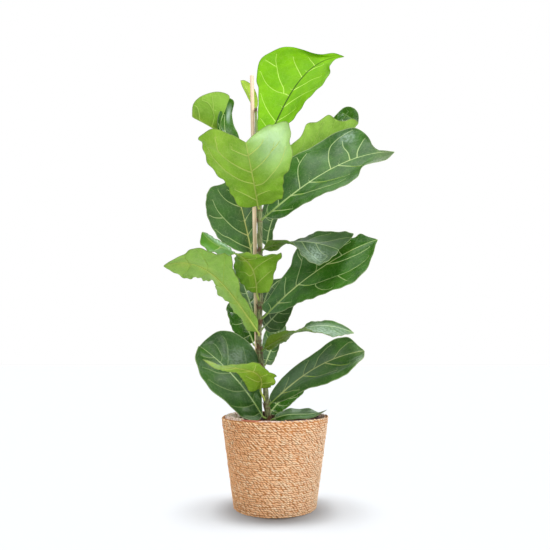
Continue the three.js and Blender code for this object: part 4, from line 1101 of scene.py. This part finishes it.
# The ties
# Brown garden twine, three turns at each of two heights, drawn round the stem and the stake.

TIE_HEIGHTS = [498 * MM, 727 * MM]
TWINE_RADIUS = 0.85 * MM
TWINE_TURNS = 3
TURN_SPACING = 1.75 * MM
TWINE_SAG = 0.3 * MM
HALF_TURN_POINTS = 19

paint = Paint("garden_twine", Roughness=0.85)
twist = paint.node(
    "TexWave", "Fac", {"Vector": paint.place(), "Scale": 160, "Distortion": 3, "Detail": 2},
    bands_direction="DIAGONAL",
)
twine_tone = paint.ramp(twist, (0, 0.10, 0.06, 0.025), (1, 0.36, 0.24, 0.12))
twine = paint.surface(twine_tone, twist, 0.6, 0.0006)
for number, tie_height in enumerate(TIE_HEIGHTS, 1):
    lines = []
    for turn_number in range(TWINE_TURNS):
        level = tie_height + (turn_number - 1) * TURN_SPACING
        stem_middle = stem_at(level)
        share = (STAKE_TOP[2] - level) / (STAKE_TOP[2] - STAKE_ENTRY[2])
        stake_middle = STAKE_TOP + (STAKE_ENTRY - STAKE_TOP) * share
        heading = math.atan2(stake_middle[1] - stem_middle[1], stake_middle[0] - stem_middle[0])
        loop = []
        for middle, radius, start in (
            (stem_middle, stem_radius(level) + NODE_SWELLING * 0.3, math.pi / 2),
            (stake_middle, STAKE_RADIUS, -math.pi / 2),
        ):
            reach = radius + TWINE_RADIUS + 0.1 * MM
            for angle in np.linspace(start, start + math.pi, HALF_TURN_POINTS):
                sag = TWINE_SAG * math.sin(2 * angle + turn_number)
                toward = angle + heading
                loop.append(middle + np.array([reach * math.cos(toward), reach * math.sin(toward), sag]))
        lines.append((loop, [TWINE_RADIUS] * len(loop)))
    tie = rods("tie", lines, roundness=2, closed=True)
    finished_piece(tie, f"tie_{number}", twine, "tie", f"tie_{number}")

# The leaves
# Large leathery leaves, waisted and broad at the tip, each on a short stalk that grows from its
# node on the stem: glossy and puckered above, with pale sunken veins, and matte below, where the
# midrib and side veins stand out.

LEAF_DEFAULTS = dict(
    look="mature",  # which of LEAF_LOOKS
    around=None,  # the side step by which the stalk passes the stake, x and y in mm
    camber=(-0.1, -0.1),  # the bulge of each half, as a share of its width
    wave=(2, 3, 0.1),  # the margin's ripple: height in mm, number of waves, start
    veins=(),  # side veins by rule: where the first starts at the left and the right, and their gap
    courses=(),  # side veins given one by one, as told at LEAVES
    tones=(0, 1, 0, 1),  # above and below: how much warmer than the look, and how bright
    blush=0,  # how much warmer the blade is away from its midrib
    matte=0,  # added roughness of the upper side
    vein_show=1,
    pucker=1,  # the swelling between the veins, against PUCKER
    frill=1.1,  # height in mm of the short ripples along the margin
    furrow=(0, 1, 0),  # long folds of the right half: height in mm, number of waves, start
    bloom=(0, 0, 1, 1, 0),  # a painted highlight, a pale patch of painted sheen: place u and t, spread u and t, strength
    crumpled=0.1,  # how far the painted sheen breaks up into patches
    dry_tip=0,
    notches=(),  # bites in the margin, or lobes if less than 0: side, place u, depth in mm, spread u
)
BLADE_THICKNESS = 0.7 * MM
FRILLS_PER_WAVE = 3.3
DRY_FROM = 0.84  # the share of the blade beyond which a dry tip is dry
DRY_FADE = 0.08
END_FADE = 0.004  # the blade's grid stops this share short of its two points
FULL_RIPPLE_WIDTH = 40 * MM  # a half as wide as this has the whole ripple
FULL_FRILL_WIDTH = 50 * MM
VEIN_CLIMB = 0.9  # how far a side vein climbs on its way out, as a share of the half's width
VEIN_CURVE = 1.35
LAST_VEIN = 0.86  # no side vein starts beyond this share of the midrib
PUCKER = 4.2 * MM  # height of the swelling between far-apart side veins
PUCKER_REACH = 13 * MM  # how far from a vein the blade has swollen to half of that
PUCKER_EDGE = 14 * MM  # the swelling dies away within this of the margin
STALK_LEAN = 0.4
STALK_BEND = 0.35
FULL_RIB_LENGTH = 0.3  # the ribs of a shorter blade are thinner
SIDES = {"left": -1, "right": 1}

# Below, u is the share of the way from the blade's foot to its tip, t the share of the way from
# the midrib to the margin, less than 0 on the left, and a is the same without its sign.


def unit(vectors):
    return vectors / np.maximum(np.linalg.norm(vectors, axis=-1, keepdims=True), 1e-12)


def hermite(k, step, start, end, slope_start, slope_end):
    return (
        (2 * k**3 - 3 * k**2 + 1) * start
        + (k**3 - 2 * k**2 + k) * step * slope_start
        + (3 * k**2 - 2 * k**3) * end
        + (k**3 - k**2) * step * slope_end
    )


def midrib(leaf, u):
    u = np.asarray(u, dtype=float)[..., None]
    rib = np.array(leaf["rib"]) * MM
    return (
        -4.5 * (u - 1 / 3) * (u - 2 / 3) * (u - 1) * rib[0]
        + 13.5 * u * (u - 2 / 3) * (u - 1) * rib[1]
        - 13.5 * u * (u - 1 / 3) * (u - 1) * rib[2]
        + 4.5 * u * (u - 1 / 3) * (u - 2 / 3) * rib[3]
    )


def along_midrib(leaf, u):
    return unit(midrib(leaf, u + 0.01) - midrib(leaf, u - 0.01))


def margin(leaf, side, u):
    # A smooth curve from the foot of the blade through its stations to the tip.
    stations = np.array([(0, *leaf["rib"][0]), *leaf[side], (100, *leaf["rib"][3])], dtype=float)
    shares, points = stations[:, 0] / 100, stations[:, 1:] * MM
    steps = np.diff(shares)
    slopes = np.diff(points, axis=0) / steps[:, None]
    inner = slopes[:-1] * steps[1:, None] + slopes[1:] * steps[:-1, None]
    inner /= (steps[:-1] + steps[1:])[:, None]
    tangents = np.concatenate([slopes[:1], inner, slopes[-1:]])
    u = np.asarray(u, dtype=float)
    i = np.clip(np.searchsorted(shares, u, side="right") - 1, 0, len(steps) - 1)
    step = steps[i][..., None]
    k = (u - shares[i])[..., None] / step
    return hermite(k, step, points[i], points[i + 1], tangents[i], tangents[i + 1])


def blade(leaf, u, t, side):
    # The place on the blade at share u of its length and share t of the half's width.
    sign = SIDES[side]
    a = np.abs(t)[..., None]
    middle = midrib(leaf, u)
    along = along_midrib(leaf, u)
    reach = margin(leaf, side, u) - middle
    width = np.linalg.norm(reach, axis=-1, keepdims=True)
    across = unit(reach - (reach * along).sum(-1, keepdims=True) * along) * sign
    upward = np.cross(across, along)
    height, count, start = leaf["wave"]
    shift = start if sign < 0 else start + 0.4
    ripple = height * MM * a**2 * np.sin(2 * np.pi * (count * u[..., None] + shift))
    fade = np.minimum(width / FULL_RIPPLE_WIDTH, 1) * np.sin(np.pi * np.clip(u, 0, 1))[..., None] ** 0.3
    bulge = leaf["camber"][0 if sign < 0 else 1] * width * 4 * a * (1 - a)
    return middle + reach * a + upward * (bulge + ripple * fade), width[..., 0]


def on_blade(leaf, u, t):
    # Points of both halves at once, t negative on the left, with the width of each one's half.
    left, right = (blade(leaf, u, t, side) for side in SIDES)
    is_left = np.asarray(t) < 0
    return np.where(is_left[:, None], left[0], right[0]), np.where(is_left, left[1], right[1])


def vein_courses(leaf, length):
    # Each course is a smooth line through the leaf's own places, or through places set by the rule.
    courses = [np.array(course) / 100 for course in leaf["courses"]]
    for side, first in zip(SIDES, leaf["veins"]):
        for start in np.arange(first, LAST_VEIN, leaf["veins"][2]):
            # How far it climbs depends on the half's width where it runs, so it is found by steps.
            a = np.array([0, 0.3, 0.6, 0.9])
            u = np.full(4, start)
            for _ in range(12):
                _, width = blade(leaf, np.clip(u, 0.01, 0.985), a, side)
                u = start + VEIN_CLIMB * width / length * a**VEIN_CURVE
            courses.append(np.stack([np.minimum(u, 0.97), SIDES[side] * a], axis=1))
    smooth = []
    for course in courses:
        share = np.linspace(0, 1, len(course))
        fine = np.linspace(0, 1, 6 * len(course))
        slope = np.gradient(course, share, axis=0)
        i = np.clip(np.searchsorted(share, fine, side="right") - 1, 0, len(course) - 2)
        k = ((fine - share[i]) / share[1])[:, None]
        smooth.append(hermite(k, share[1], course[i], course[i + 1], slope[i], slope[i + 1]))
    return smooth


def nearest_course(points, starts, ends):
    # For every point, the nearest piece of a course and how far away it is.
    run = ends - starts
    size = (run**2).sum(axis=1)
    reach = points[:, None, :] - starts[None, :, :]
    k = np.clip((reach * run[None]).sum(axis=2) / size[None], 0, 1)
    distance = np.linalg.norm(reach - k[:, :, None] * run[None], axis=2)
    nearest = distance.argmin(axis=1)
    return nearest, distance[np.arange(len(points)), nearest]


def measure_veins(piece, points, normals, lines, starts, ends):
    # Each face measures all its corners from the one course nearest its middle, so that the
    # line of a vein stays sharp where it crosses the face.
    order = np.concatenate([np.arange(len(line) - 1) for line in lines])
    is_last = np.concatenate([np.arange(len(line) - 1) == len(line) - 2 for line in lines])
    share = np.concatenate([np.linspace(0, 1, len(line) - 1) for line in lines])
    corner_vertex = np.empty(len(piece.data.loops), dtype=np.int64)
    piece.data.loops.foreach_get("vertex_index", corner_vertex)
    corners = points[corner_vertex]
    nearest, _ = nearest_course(corners.reshape(-1, 4, 3).mean(axis=1), starts, ends)
    nearest = np.repeat(nearest, 4)
    run = unit(ends - starts)[nearest]
    sideways = unit(np.cross(run, normals[corner_vertex]))
    reach = corners - starts[nearest]
    offset = (reach * sideways).sum(axis=1)
    forward = (reach * run).sum(axis=1)
    past_end = is_last[nearest] & (forward > np.linalg.norm((ends - starts)[nearest], axis=1))
    offset = np.where(past_end, np.linalg.norm(corners - ends[nearest], axis=1), offset)
    before_root = (order[nearest] == 0) & (forward < 0)
    offset = np.where(before_root, np.linalg.norm(reach, axis=1) + 1.5 * MM, offset)
    vein_width = 1.3 - 0.7 * share[nearest]
    offset = offset / MM / vein_width
    attribute = piece.data.attributes.new("from_vein", "FLOAT", "CORNER")
    attribute.data.foreach_set("value", offset.astype(np.float32))


def leaf_blade(leaf, length, courses, rows, columns, draw):
    select()
    bpy.ops.mesh.primitive_grid_add(x_subdivisions=columns, y_subdivisions=rows, size=2)
    piece = bpy.context.object
    grid = mesh_points(piece)
    t = grid[:, 0]
    v = (grid[:, 1] + 1) / 2
    # The grid's rows stand closer together toward the foot and the tip.
    u = END_FADE + (1 - 2 * END_FADE) * (v - 0.5 * np.sin(2 * np.pi * v) / (2 * np.pi))
    a = np.abs(t)
    points, width = on_blade(leaf, u, t)
    half, edge = a * width, (1 - a) * width
    set_points(piece, points)
    normals = np.empty(len(points) * 3)
    piece.data.vertex_normals.foreach_get("vector", normals)
    normals = normals.reshape(-1, 3)

    lines = [on_blade(leaf, course[:, 0], course[:, 1])[0] for course in courses]
    starts = np.concatenate([line[:-1] for line in lines])
    ends = np.concatenate([line[1:] for line in lines])
    measure_veins(piece, points, normals, lines, starts, ends)
    _, to_vein = nearest_course(points, starts, ends)
    between = np.minimum(to_vein, 0.6 * half)
    swelling = PUCKER * between / (between + PUCKER_REACH)
    swelling *= np.clip(edge / PUCKER_EDGE, 0, 1) ** 0.7 * leaf["pucker"]
    frill_waves = leaf["wave"][1] * FRILLS_PER_WAVE * u + draw.random()
    frill = leaf["frill"] * MM * a**6 * np.sin(2 * np.pi * frill_waves + 2 * t)
    frill *= np.minimum(width / FULL_FRILL_WIDTH, 1)
    for side, place_u, depth, spread in leaf["notches"]:
        nearby = np.exp(-(((u - place_u) / spread) ** 2)) * (t * side > 0) * a**4
        pull = nearby * depth * MM / np.maximum(width, 10 * MM)
        points = points + (midrib(leaf, u) - points) * pull[:, None]
    height, waves, phase = leaf["furrow"]
    furrow = height * MM * np.sin(2 * np.pi * (waves * a + phase + 0.12 * np.sin(5 * u))) * (t > 0)
    furrow *= np.clip(a / 0.3, 0, 1) ** 2 * np.sin(np.pi * u)
    set_points(piece, points + normals * (swelling + frill + furrow)[:, None])

    # A painted highlight: a pale patch of painted sheen and glints at its place on the blade.
    place_u, place_t, spread_u, spread_t, strength = leaf["bloom"]
    bloom = strength * np.exp(-(((u - place_u) / spread_u) ** 2) - ((t - place_t) / spread_t) ** 2)
    midrib_width = 1.5 - 1.1 * u
    set_attributes(
        piece,
        bloom=bloom,
        dry=leaf["dry_tip"] * np.clip((u - DRY_FROM) / DRY_FADE, 0, 1),
        crumpled=leaf["crumpled"],
        half=half / MM,
        from_midrib=half / MM / midrib_width,
        to_vein=to_vein / MM,
        edge=edge / MM,
        across=t * width / MM,
        along=u * length / MM,
    )
    count = len(points)
    thicken(piece, BLADE_THICKNESS)
    is_upper = np.arange(len(piece.data.vertices)) < count
    upper_warmth, upper_light, lower_warmth, lower_light = leaf["tones"]
    set_attributes(
        piece,
        upper=is_upper,
        warmth=np.where(is_upper, upper_warmth, lower_warmth),
        lightness=np.where(is_upper, upper_light, lower_light),
        matte=leaf["matte"],
    )
    bpy.ops.object.shade_smooth_by_angle(angle=math.radians(60))
    return piece


def leaf_ribs(leaf, length, courses):
    # The stalk runs in a bend from the stem to the blade, past the stake where it has to, and on
    # as the midrib under the blade. The side veins' ribs branch from it.
    foot = stem_at(leaf["node"] * MM)
    base = midrib(leaf, 0)
    direction = unit(midrib(leaf, 0.05) - base)
    reach = np.linalg.norm(base - foot)
    out = foot + STALK_LEAN * (base - foot)
    if leaf["around"]:
        out[:2] = np.array(leaf["around"]) * MM
    back = base - direction * STALK_BEND * reach
    s = np.linspace(0, 1, 15)[:-1, None]
    stalk = (1 - s) ** 3 * foot + 3 * (1 - s) ** 2 * s * out + 3 * (1 - s) * s**2 * back + s**3 * base
    stalk_radii = (2.2 + 0.9 * (1 - s[:, 0]) ** 3 + 0.2 * s[:, 0] ** 4) * MM
    u = np.linspace(0.0, 0.97, 40)
    inner_u = np.clip(u, 0.02, 0.98)
    rib = midrib(leaf, u)
    left, right = (margin(leaf, side, inner_u) - midrib(leaf, inner_u) for side in SIDES)
    upward = unit(np.cross(unit(right - left), along_midrib(leaf, u)))
    thinness = min(length / FULL_RIB_LENGTH, 1) ** 0.5
    rib_radii = (2.1 - 1.5 * u**0.7) * thinness * MM
    rib = rib - upward * (0.55 * rib_radii + 0.3 * MM)[:, None]
    stem_line = (np.concatenate([stalk, rib]), np.concatenate([stalk_radii, rib_radii]))
    lines = []
    for course in courses:
        side = "left" if course[-1, 1] < 0 else "right"
        u, a = course[:, 0], np.maximum(np.abs(course[:, 1]), 0.015)
        place, _ = blade(leaf, u, a, side)
        ahead, _ = blade(leaf, u + 0.008, a, side)
        outward, _ = blade(leaf, u, a + 0.02, side)
        upward = unit(np.cross((outward - place) * SIDES[side], ahead - place))
        radii = (0.95 - 0.6 * np.linspace(0, 1, len(course))) * thinness * MM
        lines.append((place - upward * (0.3 * MM + 0.45 * radii)[:, None], radii))
    return rods("midrib", [stem_line], roundness=2), rods("side_ribs", lines, roundness=1)


# Colours are red, green and blue as seen on a screen, out of 255.
# The lower sides are paler than the upper ones, as a real underside is, and lighter still as painted light
# that stands for light shining through the blade; the vivid yellow-green of the lime look is partly such
# painted light too.
LEAF_LOOKS = {
    "mature": dict(
        upper_dark=(38, 88, 7), upper_light=(56, 110, 11), upper_midrib=(190, 216, 144),
        upper_vein=(190, 214, 142), lower_dark=(106, 150, 20), lower_light=(128, 172, 44),
        lower_vein=(172, 202, 92), lower_midrib=(140, 168, 84), rim=(150, 168, 116),
        roughness=0.24, shine=0.45, groove_width=1.0,
    ),
    "young": dict(
        upper_dark=(76, 144, 28), upper_light=(100, 166, 42), upper_midrib=(176, 214, 100),
        upper_vein=(186, 218, 116), lower_dark=(126, 176, 30), lower_light=(148, 195, 50),
        lower_vein=(206, 222, 118), lower_midrib=(190, 206, 100), rim=(112, 122, 62),
        roughness=0.42, shine=0.3, groove_width=1.0,
    ),
    "bud": dict(
        upper_dark=(168, 208, 56), upper_light=(180, 218, 72), upper_midrib=(196, 226, 104),
        upper_vein=(196, 226, 104), lower_dark=(176, 214, 66), lower_light=(186, 222, 80),
        lower_vein=(204, 228, 112), lower_midrib=(190, 210, 90), rim=(130, 140, 70),
        roughness=0.42, shine=0.3, groove_width=1.0,
    ),
    # The lime look's dark upper_midrib is painted shade along the groove of the midrib.
    "lime": dict(
        upper_dark=(106, 167, 0), upper_light=(120, 180, 0), upper_midrib=(52, 84, 8),
        upper_vein=(200, 236, 112), lower_dark=(150, 200, 30), lower_light=(164, 212, 50),
        lower_vein=(214, 234, 140), lower_midrib=(190, 210, 90), rim=(84, 118, 10),
        roughness=0.5, shine=0.12, groove_width=1.6,
    ),
}
# The pale colour of the painted highlights on the leaves.
PAINTED_SHEEN_TONE = (212, 238, 222)
DRY_TONE = (92, 88, 64)
LOWER_RIM = (112, 122, 62)
WARMING = (1.28, 0.94, 0.7)


def srgb(colour):
    shares = [channel / 255 for channel in colour]
    return (*(s / 12.92 if s <= 0.04045 else ((s + 0.055) / 1.055) ** 2.4 for s in shares), 1)


def leaf_material(name, look):
    # The blade carries its distances in mm as attributes, and every line is drawn from them.
    tone = {key: srgb(value) for key, value in look.items() if isinstance(value, tuple)}
    roughness = look["roughness"]
    paint = Paint("leaf_" + name, Roughness=roughness, Specular_IOR_Level=look["shine"])
    value, sums, blend = paint.attribute, paint.maths, paint.blend

    def times(first, second):
        return sums("MULTIPLY", first, second)

    def fade(source, full, none, high=1.0, low=0.0):
        return paint.ranged(source, full, none, high, low, "SMOOTHSTEP")

    def layered(base, *layers):
        # Each layer is a share and a colour, laid over what is there.
        for share, colour in layers:
            base = blend(share, base, colour)
        return base

    half, edge, upper = value("half"), value("edge"), value("upper")
    place = paint.node("CombineXYZ", 0, {"X": value("across"), "Y": value("along")})
    groove = look["groove_width"]
    midrib_line = fade(value("from_midrib"), 0.8 * groove, 1.8 * groove)
    side_line = times(fade(sums("ABSOLUTE", value("from_vein")), 0.5, 1.4), fade(edge, 2.0, 9.0, 0.3, 1.0))
    side_line = times(side_line, value("vein_show"))
    halo = sums("MAXIMUM", fade(half, 1.0, 7.0), fade(value("to_vein"), 0.5, 5.0))
    cells = paint.node(
        "TexVoronoi", "Distance", {"Vector": place, "Scale": 0.115, "Randomness": 0.9},
        feature="DISTANCE_TO_EDGE",
    )
    mesh_line = fade(cells, 0.015, 0.07)
    fine_cells = paint.node(
        "TexVoronoi", "Distance", {"Vector": place, "Scale": 0.42}, feature="DISTANCE_TO_EDGE"
    )
    fine_line = fade(fine_cells, 0.02, 0.14)
    rung_place = sums("MULTIPLY_ADD", paint.noise(place, 0.05, 2), 4.0, times(half, 1 / 17))
    rungs = sums("PINGPONG", rung_place, 0.5)
    rung_line = fade(rungs, 0.02, 0.09)
    mottle = paint.noise(place, 0.02, 2)
    speckle = paint.noise(place, 0.6, 3)

    light = fade(mottle, 0.32, 0.68, 0.0, 1.0)
    above = layered(
        blend(light, tone["upper_dark"], tone["upper_light"]),
        (times(halo, 0.45), tone["upper_light"]),
        (times(mesh_line, 0.06), tone["upper_vein"]),
        (times(rung_line, 0.07), tone["upper_vein"]),
        (times(side_line, 0.85), tone["upper_vein"]),
        (times(midrib_line, 0.9), tone["upper_midrib"]),
    )
    below = layered(
        blend(light, tone["lower_dark"], tone["lower_light"]),
        (times(mesh_line, 0.15), tone["lower_vein"]),
        (times(rung_line, 0.12), tone["lower_vein"]),
        (times(fine_line, 0.08), tone["lower_vein"]),
        (times(side_line, 0.88), tone["lower_vein"]),
        (times(midrib_line, 0.9), tone["lower_midrib"]),
    )
    colour = blend(upper, below, above)
    blush = times(times(fade(half, 3.0, 22.0), value("blush")), fade(mottle, 0.35, 0.6, 0.3, 1.0))
    colour = blend(sums("ADD", value("warmth"), blush), colour, paint.scaled(colour, WARMING))
    shade = times(value("lightness"), fade(paint.noise(place, 0.05, 2), 0.3, 0.7, 0.95, 1.05))
    colour = paint.node("VectorMath", 0, {0: colour, "Scale": shade}, operation="SCALE")
    # The painted sheen breaks up into crisp patches by noise.
    broken = sums("SUBTRACT", fade(paint.noise(place, 0.16, 3), 0.4, 0.6, 0.3, 1.4), 1.0)
    broken = sums("MULTIPLY_ADD", value("crumpled"), broken, 1.0)
    colour = layered(
        colour,
        (times(value("bloom"), broken), srgb(PAINTED_SHEEN_TONE)),
        (value("dry"), srgb(DRY_TONE)),
        (fade(edge, 0.5, 2.0, 0.75, 0.0), blend(upper, srgb(LOWER_RIM), tone["rim"])),
    )
    gloss = sums("MULTIPLY_ADD", speckle, 0.14, sums("ADD", value("matte"), roughness - 0.07))
    paint.tree.links.new(paint.blend_value(upper, 0.6, gloss), paint.shader.inputs["Roughness"])

    grooves = sums("MAXIMUM", sums("MAXIMUM", midrib_line, side_line), times(mesh_line, 0.14))
    grooves = times(sums("MULTIPLY_ADD", fade(rungs, 0.0, 0.5), 0.15, grooves), -1.0)
    net = sums("MULTIPLY_ADD", rung_line, 0.4, times(fine_line, 0.2))
    net = sums("MULTIPLY_ADD", mesh_line, 0.3, net)
    relief = sums("MULTIPLY_ADD", speckle, 0.12, paint.blend_value(upper, net, grooves))
    return paint.surface(colour, relief, 0.7, 0.0008)


leaf_materials = {name: leaf_material(name, look) for name, look in LEAF_LOOKS.items()}
SMALL_LEAF = 0.17
SMALL_GRID = (60, 32)
LARGE_GRID = (112, 56)
FAR = 50  # a distance in mm beyond the reach of the blade's lines
for number, (name, leaf) in enumerate(LEAVES.items()):
    leaf = LEAF_DEFAULTS | leaf
    chord = np.linalg.norm(np.array(leaf["rib"][3]) - np.array(leaf["rib"][0])) * MM
    rows, columns = SMALL_GRID if chord < SMALL_LEAF else LARGE_GRID
    length = np.linalg.norm(np.diff(midrib(leaf, np.linspace(0, 1, 60)), axis=0), axis=1).sum()
    courses = vein_courses(leaf, length)
    piece = leaf_blade(leaf, length, courses, rows, columns, random.Random(100 + number))
    ribs = leaf_ribs(leaf, length, courses)
    for rib, from_midrib in zip(ribs, (0, FAR)):
        _, _, warmth, lightness = leaf["tones"]
        set_attributes(
            rib, warmth=warmth, lightness=lightness, edge=FAR, from_midrib=from_midrib, half=FAR
        )
    select(piece, *ribs)
    bpy.ops.object.join()
    set_attributes(piece, vein_show=leaf["vein_show"], blush=leaf["blush"])
    slot = "leaf_young" if leaf["look"] == "bud" else "leaf_" + leaf["look"]
    finished_piece(piece, name + "_blade", leaf_materials[leaf["look"]], slot, name)
